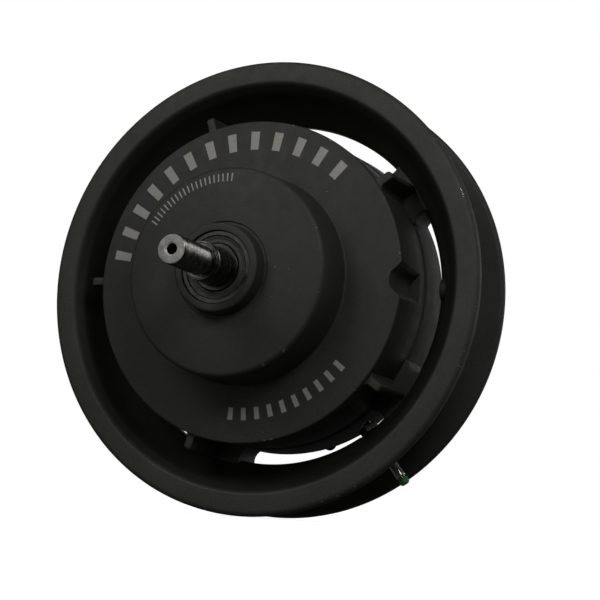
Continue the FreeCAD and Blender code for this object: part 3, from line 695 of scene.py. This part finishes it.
def threaded_steel(name, base, rough):
    """Turned steel with painted shade in the thread roots, painted highlights from the crests outward,
    and a dry, dusty end face.
    """
    m = turned_metal(name, base, rough, stain=0.7)
    t = m.node_tree
    shader = t.nodes["Principled BSDF"]
    coords, r, _, y = polar(t)
    steel = shader.inputs["Base Color"].links[0].from_socket
    # painted shade and highlight by radius: darker in the thread roots, brighter from the crests outward
    height = ramp(t, product(t, r, 1.0 / (THREAD_R * MM)), [(0.9, 0.1), (0.985, 1.9)])
    root_shade_crest_highlight = colour_product(t, steel, height)
    end = math_node(t, "LESS_THAN", y, (AXLE_Y0 + END_SINK_DEPTH + 0.05) * MM)
    face = product(t, end, math_node(t, "LESS_THAN", r, (END_R + 0.25) * MM))
    sink = math_node(t, "LESS_THAN", r, (END_SINK_R + 0.05) * MM)
    cloud = noise(t, coords, 420.0, 4.0, 0.65)
    dust = ramp(t, cloud, [(0.35, (0.28, 0.276, 0.25)), (0.65, (0.43, 0.424, 0.39))])
    dry = mix(t, sink, dust, (0.62, 0.61, 0.57))
    metallic = math_node(t, "SUBTRACT", 1.0, product(t, face, 0.85))
    t.links.new(mix(t, face, root_shade_crest_highlight, dry), shader.inputs["Base Color"])
    t.links.new(metallic, shader.inputs["Metallic"])
    return m


def plain_detail(name, base, rough, scale, depth, metallic=0.0, coat=0.0):
    """Moulded, coated or cast surface with mottling and a fine bump."""
    m, t, shader = new_material(name)
    coords = object_coords(t)
    cloud = noise(t, coords, scale * 0.2, 3.0)
    fine = noise(t, coords, scale, 3.0)
    tone = ramp(t, cloud, [(0.35, scaled(base, 0.82)), (0.65, scaled(base, 1.18))])
    gloss = ramp(t, fine, [(0.3, rough * 0.85), (0.7, min(1.0, rough * 1.15))])
    t.links.new(tone, shader.inputs["Base Color"])
    t.links.new(gloss, shader.inputs["Roughness"])
    shader.inputs["Metallic"].default_value = metallic
    shader.inputs["Coat Weight"].default_value = coat
    bump(t, shader, fine, depth, 0.00008)
    return m


MAT = {
    "rim": rim_paint(),
    "shell": shell_paint(),
    "spoke": spoke_paint(),
    "cover": cover_paint(),
    "axle": threaded_steel("oiled_axle_steel", (0.1, 0.098, 0.09), 0.26),
    "sleeve": turned_metal("blackened_sleeve_steel", (0.13, 0.128, 0.12), 0.26, 3600.0, stain=0.5),
    "ring": turned_metal("oiled_bearing_steel", (0.085, 0.084, 0.078), 0.34, 6500.0, stain=0.4),
    "spring": turned_metal("phosphated_spring_steel", (0.09, 0.088, 0.085), 0.42),
    "core": turned_metal("lamination_steel", (0.3, 0.31, 0.32), 0.4, 2800.0, depth=0.5),
    "nickel": turned_metal("nickel_plate", (0.72, 0.70, 0.64), 0.2, 2500.0),
    "brass": turned_metal("valve_brass", (0.68, 0.5, 0.2), 0.3, 2500.0),
    "ball": plain_detail("ball_steel", (0.62, 0.62, 0.61), 0.1, 900.0, 0.02, metallic=1.0),
    "cage": plain_detail("cage_brass", (0.56, 0.42, 0.19), 0.34, 900.0, 0.1, metallic=1.0),
    "seal": plain_detail("seal_rubber", (0.043, 0.043, 0.04), 0.6, 1200.0, 0.2),
    "screw": plain_detail("black_oxide_screw", (0.06, 0.059, 0.058), 0.36, 1500.0, 0.15, metallic=0.9),
    "alloy": plain_detail("bare_cast_alloy", (0.55, 0.55, 0.54), 0.5, 700.0, 0.35, metallic=0.9),
    "insulator": plain_detail("insulator_paper", (0.68, 0.63, 0.48), 0.7, 800.0, 0.2),
    "copper": plain_detail("enamelled_copper", (0.58, 0.22, 0.08), 0.25, 2600.0, 0.5, 0.9, coat=0.6),
    "board": plain_detail("solder_mask_green", (0.02, 0.16, 0.06), 0.3, 900.0, 0.1, coat=0.4),
    "plastic": plain_detail("black_plastic", (0.03, 0.03, 0.03), 0.45, 900.0, 0.15),
    "magnet": plain_detail("nickel_magnet", (0.6, 0.59, 0.56), 0.22, 700.0, 0.05, metallic=1.0),
    "green": plain_detail("green_cap_plastic", (0.05, 0.36, 0.09), 0.4, 900.0, 0.15),
}


# ------------------------------------------------------------------ materials of the CAD nodes
NODES_BY_LOOK = {
    "rim": ("rim_front_flange", "rim_barrel", "rim_rear_flange"),
    "shell": ("motor_shell",),
    "spoke": tuple("spoke_%d" % number for number in range(1, SPOKES + 1)),
    "cover": ("rear_cover",),
    "axle": ("axle",),
    "sleeve": ("axle_key", "front_spacer", "rear_spacer"),
    "ring": (
        "front_bearing_inner", "front_bearing_outer", "rear_bearing_inner", "rear_bearing_outer",
    ),
    "ball": ("front_bearing_balls", "rear_bearing_balls"),
    "cage": ("front_bearing_cage", "rear_bearing_cage"),
    "seal": (
        "front_bearing_seal", "rear_bearing_seal", "cable_gland", "valve_grommet", "cover_gasket",
    ),
    "spring": ("rear_retaining_ring",),
    "screw": ("cover_screws", "board_screws", "valve_nut"),
    "alloy": ("stator_hub",),
    "core": ("stator_core", "back_iron"),
    "insulator": ("end_insulator_front", "end_insulator_rear"),
    "copper": ("coils_phase_a", "coils_phase_b", "coils_phase_c"),
    "board": ("hall_board",),
    "plastic": ("hall_sensor_1", "hall_sensor_2", "hall_sensor_3", "board_standoffs"),
    "magnet": ("magnets_north", "magnets_south"),
    "brass": ("valve_core",),
    "nickel": ("valve_stem",),
    "green": ("valve_cap",),
}


def dress(obj, look):
    obj.data.materials.clear()
    obj.data.materials.append(MAT[look])


def place(obj, look, body, slot, *stands_for):
    """Gives a visual piece its material and its body, and hides the nodes it stands for; the slot is not
    used.
    """
    dress(obj, look)
    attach(obj, body)
    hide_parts(*stands_for)


# ------------------------------------------------------------------ rim casting
def rim_outline():
    """Outline of the rim: tyre side from front to back, then hub side from back to front."""
    tyre = [
        (SEAT_OUT_R, -FLANGE_IN, SEAT_OUT_ROUND),
        (SEAT_IN_R, -SEAT_IN_Y, SEAT_IN_ROUND),
        (WELL_R, WELL_Y - WELL_HALF, WELL_ROUND),
        (WELL_R, WELL_Y + WELL_HALF, WELL_ROUND),
        (SEAT_IN_R, SEAT_IN_Y, SEAT_IN_ROUND),
        (SEAT_OUT_R, FLANGE_IN, SEAT_OUT_ROUND),
    ]
    back = [
        (RIM_R, FLANGE_IN, FLANGE_ROUND_IN),
        (RIM_R, RIM_HALF, FLANGE_ROUND),
        (LIP_R, RIM_HALF, LIP_ROUND),
        (DISH_R, DISH_Y, DISH_ROUND),
    ]
    throat = [(THROAT_R, THROAT_Y1, THROAT_ROUND), (THROAT_R, THROAT_Y0, THROAT_ROUND)]
    front = [(r, -y, corner) for r, y, corner in reversed(back)]
    return tyre + back + throat + front


def make_rim():
    """Rim with the boss and hole of the spare valve, and the spot face and hole of the valve."""
    rim = lathe("rim_casting", rim_outline(), CASTING_TURN)
    boss = radial_rod("boss", VALVE_BOSS_R, VALVE_BOSS_FACE, VALVE_BOSS_TOP, VALVE_HOLE_Y)
    bevel(boss, VALVE_BOSS_ROUND)
    boolean(rim, boss, "UNION")
    boolean(rim, radial_rod("hole", VALVE_HOLE_R, CUT_IN, CUT_OUT, VALVE_HOLE_Y), "DIFFERENCE")
    spot = radial_rod("spot", SPOT_R, CUT_IN, THROAT_R + SPOT_SINK, VALVE_Y)
    boolean(rim, turn(spot, VALVE_DEG), "DIFFERENCE")
    hole = radial_rod("hole", VALVE_BORE_R, CUT_IN, CUT_OUT, VALVE_Y)
    boolean(rim, turn(hole, VALVE_DEG), "DIFFERENCE")
    place(rim, "rim", "wheel", "cast_black", "rim_front_flange", "rim_barrel", "rim_rear_flange")


# ------------------------------------------------------------------ motor shell
def shell_outline():
    """Outline of the shell: outer side from the boss to the back, then the hollow inside."""
    step_foot_y = STEP_Y - STEP_RISE
    relief_y = step_foot_y + RELIEF_D
    outside = [
        (BRG_R, BOSS_Y, BRG_SEAT_ROUND),
        (BOSS_R, BOSS_Y, BOSS_ROUND),
        (BOSS_BASE_R, relief_y, BOSS_BASE_ROUND),
        (RELIEF_R, relief_y, RELIEF_FLOOR_ROUND),
        (RELIEF_R, step_foot_y, RELIEF_EDGE_ROUND),
        (STEP_R, STEP_Y, STEP_ROUND),
        (STEP_BASE_R, FACE_Y - FACE_RISE, STEP_BASE_ROUND),
        (DRUM_R, FACE_Y, DRUM_ROUND),
        (DRUM_R, STRIP_Y0 - SEAM_W, SEAM_ROUND),
        (DRUM_R - SEAM_D, STRIP_Y0 - SEAM_W / 2),
        (DRUM_R - SEAM_D, STRIP_Y0),
        (STRIP_R0, STRIP_Y0, STRIP_ROUND0),
        (STRIP_R, SHELL_Y1, STRIP_ROUND),
    ]
    inside = [
        (CAVITY_R, SHELL_Y1),
        (CAVITY_R, CAVITY_Y0),
        (CHAMBER_R, CAVITY_Y0),
        (CHAMBER_R, CHAMBER_Y0, CAVITY_ROUND),
        (STEP_IN_R, CHAMBER_Y0, CAVITY_EDGE_ROUND),
        (STEP_IN_R, STEP_IN_Y0, CAVITY_ROUND),
        (SHOULDER_R, STEP_IN_Y0),
        (SHOULDER_R, BRG_FACE + BRG_W),
        (BRG_R, BRG_FACE + BRG_W),
    ]
    return outside + inside


def groove_ring(section, y):
    """Outline of the access groove at y: round floor, leaning walls and a flared mouth."""
    floor_r, floor_half, ease_r, ease_half = section
    half = [
        (floor_r, floor_half, GROOVE_ROUND),
        (ease_r, ease_half, GROOVE_WALL_ROUND),
        (DRUM_R + GROOVE_MOUTH, ease_half + GROOVE_EASE),
        (DRUM_R + GROOVE_TOP, ease_half + GROOVE_EASE),
    ]
    other = [(p[0], -p[1]) + tuple(p[2:]) for p in reversed(half)]
    points = rounded(half + other, GROOVE_STEPS)
    middle = len(points) // 2
    return [(p[0], y, p[1]) for p in points[middle:] + points[:middle]]


def make_shell():
    shell = lathe("shell_casting", shell_outline(), CASTING_TURN)
    rows = [
        groove_ring(GROOVE_FRONT, FACE_Y - GROOVE_LEAD),
        groove_ring(GROOVE_FRONT, FACE_Y),
        groove_ring(GROOVE_BACK, GROOVE_Y1),
    ]
    boolean(shell, new_object("groove", loft(rows)), "DIFFERENCE")
    place(shell, "shell", "wheel", "cast_black", "motor_shell")


# ------------------------------------------------------------------ spokes
def hub_side(y):
    """Radius of the rim's hub side at y."""
    if y < THROAT_Y0:
        return THROAT_R + (THROAT_Y0 - y) * (DISH_R - THROAT_R) / (THROAT_Y0 + DISH_Y)
    if y > THROAT_Y1:
        return THROAT_R + (y - THROAT_Y1) * (DISH_R - THROAT_R) / (DISH_Y - THROAT_Y1)
    return THROAT_R


def flank(r):
    """Half width of the spoke block at radius r, narrowest in the middle."""
    depth = BLOCK_ROOT - BLOCK_HALF
    radius = (BLOCK_WAIST ** 2 + depth ** 2) / (2 * depth)
    off = min(BLOCK_WAIST, abs(r - BLOCK_MID_R))
    return BLOCK_HALF + radius - math.sqrt(radius ** 2 - off ** 2)


def spoke_ring(y, outer, half_at, count):
    """Closed section at y, from its half widths at count radii between the drum and outer."""
    inner = DRUM_R - SPOKE_SINK
    radii = [inner + (outer - inner) * k / (count - 1) for k in range(count)]
    return [(r, y, half_at(r)) for r in radii] + [(r, y, -half_at(r)) for r in reversed(radii)]


def block_ring(y, inset):
    return spoke_ring(y, hub_side(y) + RIM_SINK, lambda r: flank(r) - inset, BLOCK_COUNT)


def block_rows():
    """Sections of the block from front to back, with its edges rounded at both ends."""
    rows = []
    for k in range(BLOCK_ROUND_STEPS + 1):
        a = math.pi / 2 * (1 - k / BLOCK_ROUND_STEPS)
        y = BLOCK_Y0 + BLOCK_ROUND * (1 - math.sin(a))
        rows.append(block_ring(y, BLOCK_ROUND * (1 - math.cos(a))))
    for bend in (THROAT_Y0, THROAT_Y1):
        rows.append(block_ring(bend - THROAT_BEND, 0.0))
        rows.append(block_ring(bend + THROAT_BEND, 0.0))
    rows.append(block_ring(BLOCK_MID_Y, 0.0))
    rows.append(block_ring(BLOCK_Y1 - BLOCK_ROUND, 0.0))
    for k in range(1, BLOCK_ROUND_STEPS + 1):
        a = math.pi / 2 * k / BLOCK_ROUND_STEPS
        y = BLOCK_Y1 - BLOCK_ROUND * (1 - math.sin(a))
        rows.append(block_ring(y, BLOCK_ROUND * (1 - math.cos(a))))
    return rows


def rib_half(r, top, inset):
    """Half width of the rib: filleted foot, flat flanks and a rounded crown."""
    foot = min(1.0, max(0.0, 1.0 - (r - DRUM_R) / RIB_FOOT_H))
    over = min(1.0, max(0.0, (r - top + RIB_CROWN) / RIB_CROWN))
    crown = RIB_CROWN * (1 - math.sqrt(1 - over * over))
    return RIB_W / 2 + RIB_FOOT_W * foot ** 2 - crown - inset


def arc_drop(radius, along):
    """How far an arc of this radius is below its top, this far along from its start."""
    return radius - math.sqrt(radius ** 2 - (radius - along) ** 2) if along < radius else 0.0


def rib_rows():
    """Sections of the rib from its rounded nose to inside the block."""
    rows = []
    for step in RIB_SECTIONS + (BLOCK_Y0 - RIB_Y0 + RIB_END,):
        slope = RIB_SLOPE * step / (BLOCK_Y0 - 1 - RIB_Y0)
        top = RIB_R + slope - arc_drop(RIB_NOSE, step)
        inset = arc_drop(RIB_EDGE, step)
        rows.append(spoke_ring(RIB_Y0 + step, top, lambda r: rib_half(r, top, inset), RIB_COUNT))
    return rows


def make_spoke(index):
    block = new_object("spoke_casting_%d" % index, loft(block_rows()))
    boolean(block, new_object("rib", loft(rib_rows())), "UNION")
    turn(block, SPOKE_FIRST + (index - 1) * 360 / SPOKES)
    place(block, "spoke", "wheel", "cast_black", "spoke_%d" % index)


# ------------------------------------------------------------------ axle
def thread_radius(y, angle, y_free, y_root):
    """Radius of the screw thread at y; it runs in over a chamfer at the free end."""
    phase = (y / THREAD_PITCH - angle / (2 * math.pi)) % 1.0
    wave = min(1.0, max(0.0, (abs(phase - 0.5) * 2 - THREAD_CREST) / THREAD_FLANK))
    run_out = min(1.0, abs(y - y_root) / THREAD_RUN_OUT)
    chamfer = THREAD_R - THREAD_CHAMFER + abs(y - y_free)
    return min(THREAD_R - THREAD_DEPTH * wave * run_out, chamfer)


def plain_rows(points):
    """Rows of the axle that are round, from (radius, y) points."""
    return [(radius, y, None) for radius, y in points]


def thread_rows(y, y_end, y_free, y_root):
    """Rows of one screw thread from y on, before y_end."""
    rows = []
    while y < y_end:
        rows.append((0, y, (y_free, y_root)))
        y += THREAD_PITCH / THREAD_ROWS
    return rows


def axle_rows():
    """Rows of (radius, y, thread ends) from the front centre hole to the cable bore."""
    front_hole = plain_rows((
        (0.0, AXLE_Y0 + END_HOLE_DEPTH),
        (END_HOLE_R, AXLE_Y0 + END_HOLE_DEPTH - END_HOLE_CONE),
        (END_HOLE_R, AXLE_Y0 + END_SINK_DEPTH),
        (END_SINK_R, AXLE_Y0),
        (END_R, AXLE_Y0),
    ))
    front_thread = thread_rows(AXLE_Y0 + THREAD_START, FRONT_THREAD_Y, AXLE_Y0, FRONT_THREAD_Y)
    shaft = plain_rows((
        (THREAD_R, FRONT_THREAD_Y),
        (SHAFT_R - SHAFT_CHAMFER, FRONT_THREAD_Y),
        (SHAFT_R, FRONT_THREAD_Y + SHAFT_CHAMFER),
        (SHAFT_R, FRONT_SHOULDER_Y),
        (MID_R, FRONT_SHOULDER_Y),
        (MID_R, HUB_Y0),
        (HUB_R, HUB_Y0),
        (HUB_R, HUB_Y1),
        (MID_R, HUB_Y1),
        (MID_R, REAR_SHOULDER_Y),
        (SHAFT_R, REAR_SHOULDER_Y),
        (SHAFT_R, REAR_THREAD_Y - SHAFT_CHAMFER),
        (SHAFT_R - SHAFT_CHAMFER, REAR_THREAD_Y),
        (THREAD_R, REAR_THREAD_Y),
    ))
    first = REAR_THREAD_Y + THREAD_PITCH / THREAD_ROWS
    rear_thread = thread_rows(first, AXLE_Y1 - THREAD_START, AXLE_Y1, REAR_THREAD_Y)
    cable_bore = plain_rows((
        (END_R, AXLE_Y1),
        (CABLE_R + SHAFT_CHAMFER, AXLE_Y1),
        (CABLE_R, AXLE_Y1 - SHAFT_CHAMFER),
        (CABLE_R, CABLE_Y0 + CABLE_CONE),
        (0.0, CABLE_Y0),
    ))
    return front_hole + front_thread + shaft + rear_thread + cable_bore


def make_axle():
    """Axle with helical threads; two flats run along the whole of both threads."""
    bm = bmesh.new()
    grid = []
    for radius, y, thread in axle_rows():
        flat = (y <= FRONT_THREAD_Y or y >= REAR_THREAD_Y) and radius <= THREAD_R
        ring = []
        for k in range(AXLE_TURN):
            a = 2 * math.pi * k / AXLE_TURN
            r = thread_radius(y, a, *thread) if thread else radius
            x, z = r * math.cos(a), r * math.sin(a)
            if flat:
                z = max(-FLAT_HALF, min(FLAT_HALF, z))
            ring.append(bm.verts.new((x * MM, y * MM, z * MM)))
        grid.append(ring)
    skin(bm, grid)
    axle = new_object("axle_turned", bm, AXLE_SHARP)
    place(axle, "axle", "axle_assembly", "axle_steel", "axle")


# ------------------------------------------------------------------ sleeve and seals
def make_sleeve():
    """Sleeve in front of the front bearing, with a groove near one end and a collar."""
    lo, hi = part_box("front_spacer")
    y0, y1 = lo.y / MM, hi.y / MM
    snap_y0 = y0 + SNAP_AT
    snap_y1 = snap_y0 + SNAP_W
    collar_y = y1 - COLLAR_W
    sleeve = lathe("front_sleeve", [
        (SHAFT_R, y0),
        (SLEEVE_R, y0, SLEEVE_ROUND),
        (SLEEVE_R, snap_y0),
        (SNAP_R, snap_y0 + SNAP_SLOPE),
        (SNAP_R, snap_y1 - SNAP_SLOPE),
        (SLEEVE_R, snap_y1),
        (SLEEVE_R, collar_y - COLLAR_SLOPE),
        (COLLAR_R, collar_y, COLLAR_ROUND),
        (COLLAR_R, y1 - COLLAR_CHAMFER, COLLAR_CHAMFER_ROUND),
        (COLLAR_R - COLLAR_CHAMFER, y1),
        (SHAFT_R, y1),
    ], AXLE_TURN)
    place(sleeve, "sleeve", "axle_assembly", "bright_steel", "front_spacer")


def make_seal(name, node, into):
    """Lip seal of a bearing; into is the direction along the axle that leads inside."""
    lo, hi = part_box(node)
    face = (lo.y if into > 0 else hi.y) / MM
    points = [(r, face + into * SEAL_T * share, corner) for r, share, corner in SEAL_SECTION]
    place(lathe(name, points, AXLE_TURN), "seal", "wheel", "seal_rubber", node)


# ------------------------------------------------------------------ valve
def radial_lathe(name, points, segments):
    """Turned piece on the valve's axis, from (radius, distance from the axle) points."""
    obj = new_object(name, lathe_bm(rounded(points, VALVE_CORNER_STEPS), segments))
    lay_along_x(obj, VALVE_Y)
    return turn(obj, VALVE_DEG)


def ring_thread(start, end, major, depth, pitch):
    """Outline of the whole ring threads that fit between start and end."""
    out = []
    while start + pitch <= end:
        crest_start = start + pitch * RING_CREST_START
        crest_end = start + pitch * RING_CREST_END
        out += [(major - depth, start), (major, crest_start), (major, crest_end)]
        start += pitch
    return out


def make_stem():
    """Valve stem: threaded foot for the nut, head on its seat, long stem and threaded neck."""
    foot = [(0, STEM_FOOT), (STEM_FOOT_R, STEM_FOOT), (STEM_TIP_R, STEM_FOOT + STEM_TIP_H)]
    foot_thread = ring_thread(FOOT_THREAD_START, FOOT_THREAD_END, STEM_R, *FOOT_THREAD)
    head = [
        (STEM_PLAIN_R, STEM_PLAIN),
        (STEM_PLAIN_R, STEM_SEAT),
        (HEAD_LOW_R, STEM_SEAT, HEAD_LOW_ROUND),
        (HEAD_R, STEM_SEAT + HEAD_T / 2, HEAD_ROUND),
        (HEAD_HIGH_R, STEM_SEAT + HEAD_T, HEAD_ROUND),
        (STEM_R, STEM_SEAT + HEAD_T),
    ]
    top = [(STEM_R, STEM_TOP, STEM_TOP_ROUND), (NECK_R, NECK_START), (NECK_R, NECK_PLAIN_END)]
    neck_thread = ring_thread(NECK_THREAD_START, NECK_THREAD_END, NECK_R, *NECK_THREAD)
    bore = [
        (NECK_TIP_R, NECK_TOP),
        (BORE_R, NECK_TOP),
        (BORE_R, NECK_TOP - BORE_DEPTH + BORE_CONE),
        (0, NECK_TOP - BORE_DEPTH),
    ]
    outline = foot + foot_thread + head + top + neck_thread + bore
    stem = radial_lathe("valve_tube", outline, STEM_TURN)
    place(stem, "nickel", "wheel", "nickel", "valve_stem")


def make_cap():
    cap = radial_lathe("valve_dust_cap", [
        (CAP_IN_R, CAP_LOW),
        (CAP_R, CAP_LOW, CAP_LOW_ROUND),
        (CAP_R, CAP_SHOULDER, CAP_SHOULDER_ROUND),
        (CAP_TOP_R, CAP_HIGH, CAP_TOP_ROUND),
        (0, CAP_HIGH),
        (0, NECK_TOP + CAP_GAP),
        (CAP_IN_R, NECK_TOP + CAP_GAP),
    ], CAP_TURN)
    place(cap, "green", "wheel", "green_plastic", "valve_cap")


def make_nut():
    """The CAD nut again, with its edges broken."""
    mesh = bpy.data.meshes.new_from_object(nodes["valve_nut"])
    nut = link_object("valve_clamp_nut", mesh)
    bevel(nut, NUT_ROUND)
    place(nut, "screw", "wheel", "screw_steel", "valve_nut")


# ------------------------------------------------------------------ camera, floor and light
# The camera's place is counted in rim radii from the centre of the front flange.
FLANGE_CENTRE = Vector((0, -RIM_HALF * MM, 0))
VIEW_FROM = Vector((2.4573, -5.469, -0.9352)) * RIM_R * MM
VIEW_RIGHT = Vector((0.92703, 0.37021, 0.05969))
VIEW_UP = Vector((-0.00121, -0.15622, 0.98772))
LENS = 84.0
SENSOR = 36.0
CLIP_START = 0.01
FLOOR_R = 0.9
FLOOR_GAP = 0.0004
LIGHT_TARGET = Vector((0, -0.03, 0))
LIGHTS = (
    # name, place and diameter in metres, power in watts
    ("key", (-0.35, -0.8, 0.6), 0.5, 2.1),
    ("front", (-0.3, -1.1, 0.1), 0.5, 0.6),
    ("side", (0.35, -0.45, 0.3), 0.25, 0.85),
    ("edge", (1.1, 0.7, 0.3), 0.8, 2.6),
    ("rear", (0.3, 1.4, 0.3), 1.6, 2.0),
    ("back", (-0.7, 1.3, 0.4), 1.2, 5.0),
)
AMBIENT = 0.036          # strength of the surroundings, except for what the camera sees


def make_camera():
    data = bpy.data.cameras.new("camera")
    data.sensor_width = SENSOR
    data.lens = LENS
    data.clip_start = CLIP_START
    camera = link_object("camera", data)
    right = VIEW_RIGHT.normalized()
    back = right.cross(VIEW_UP).normalized()
    up = back.cross(right)
    turned = Matrix((right, up, back)).transposed().to_4x4()
    camera.matrix_world = Matrix.Translation(FLANGE_CENTRE + VIEW_FROM) @ turned
    bpy.context.scene.camera = camera


def make_floor():
    """Round pale floor that the wheel stands on."""
    bm = bmesh.new()
    bmesh.ops.create_circle(bm, cap_ends=True, radius=FLOOR_R, segments=FLOOR_TURN)
    bmesh.ops.translate(bm, verts=bm.verts, vec=(0, 0, -RIM_R * MM - FLOOR_GAP))
    floor = new_object("floor", bm)
    m, t, shader = new_material("pale_floor")
    tone = ramp(t, noise(t, object_coords(t), 2.0), [(0.3, 0.93), (0.7, 0.96)])
    t.links.new(tone, shader.inputs["Base Color"])
    shader.inputs["Roughness"].default_value = 0.9
    shader.inputs["Specular IOR Level"].default_value = 0.1
    shader.inputs["Emission Color"].default_value = (1, 1, 1, 1)
    shader.inputs["Emission Strength"].default_value = 0.85
    floor.data.materials.append(m)
    floor.visible_diffuse = False
    floor.visible_glossy = False


def area_light(name, at, size, power):
    """Round light that shines at the wheel."""
    data = bpy.data.lights.new(name, "AREA")
    data.shape = "DISK"
    data.size = size
    data.energy = power
    obj = link_object(name, data)
    obj.location = at
    obj.rotation_euler = (LIGHT_TARGET - Vector(at)).to_track_quat("-Z", "Y").to_euler()


def background(t, strength):
    n = t.nodes.new("ShaderNodeBackground")
    n.inputs["Color"].default_value = (1, 1, 1, 1)
    n.inputs["Strength"].default_value = strength
    return n.outputs[0]


def make_world():
    """Surroundings that look white to the camera and light the wheel only faintly."""
    world = bpy.data.worlds.new("studio")
    bpy.context.scene.world = world
    world.use_nodes = True
    t = world.node_tree
    t.nodes.clear()
    out = t.nodes.new("ShaderNodeOutputWorld")
    path = t.nodes.new("ShaderNodeLightPath")
    blend = t.nodes.new("ShaderNodeMixShader")
    t.links.new(path.outputs["Is Camera Ray"], blend.inputs[0])
    t.links.new(background(t, AMBIENT), blend.inputs[1])
    t.links.new(background(t, 1.0), blend.inputs[2])
    t.links.new(blend.outputs[0], out.inputs["Surface"])
    bpy.context.scene.view_settings.view_transform = "Standard"


# ------------------------------------------------------------------ the whole scene
for look, members in NODES_BY_LOOK.items():
    for member in members:
        dress(nodes[member], look)

make_rim()
make_shell()
for number in range(1, SPOKES + 1):
    make_spoke(number)
make_axle()
make_sleeve()
make_seal("front_lip_seal", "front_bearing_seal", 1)
make_seal("rear_lip_seal", "rear_bearing_seal", -1)
make_stem()
make_cap()
make_nut()
make_camera()
make_floor()
for light in LIGHTS:
    area_light(*light)
make_world()
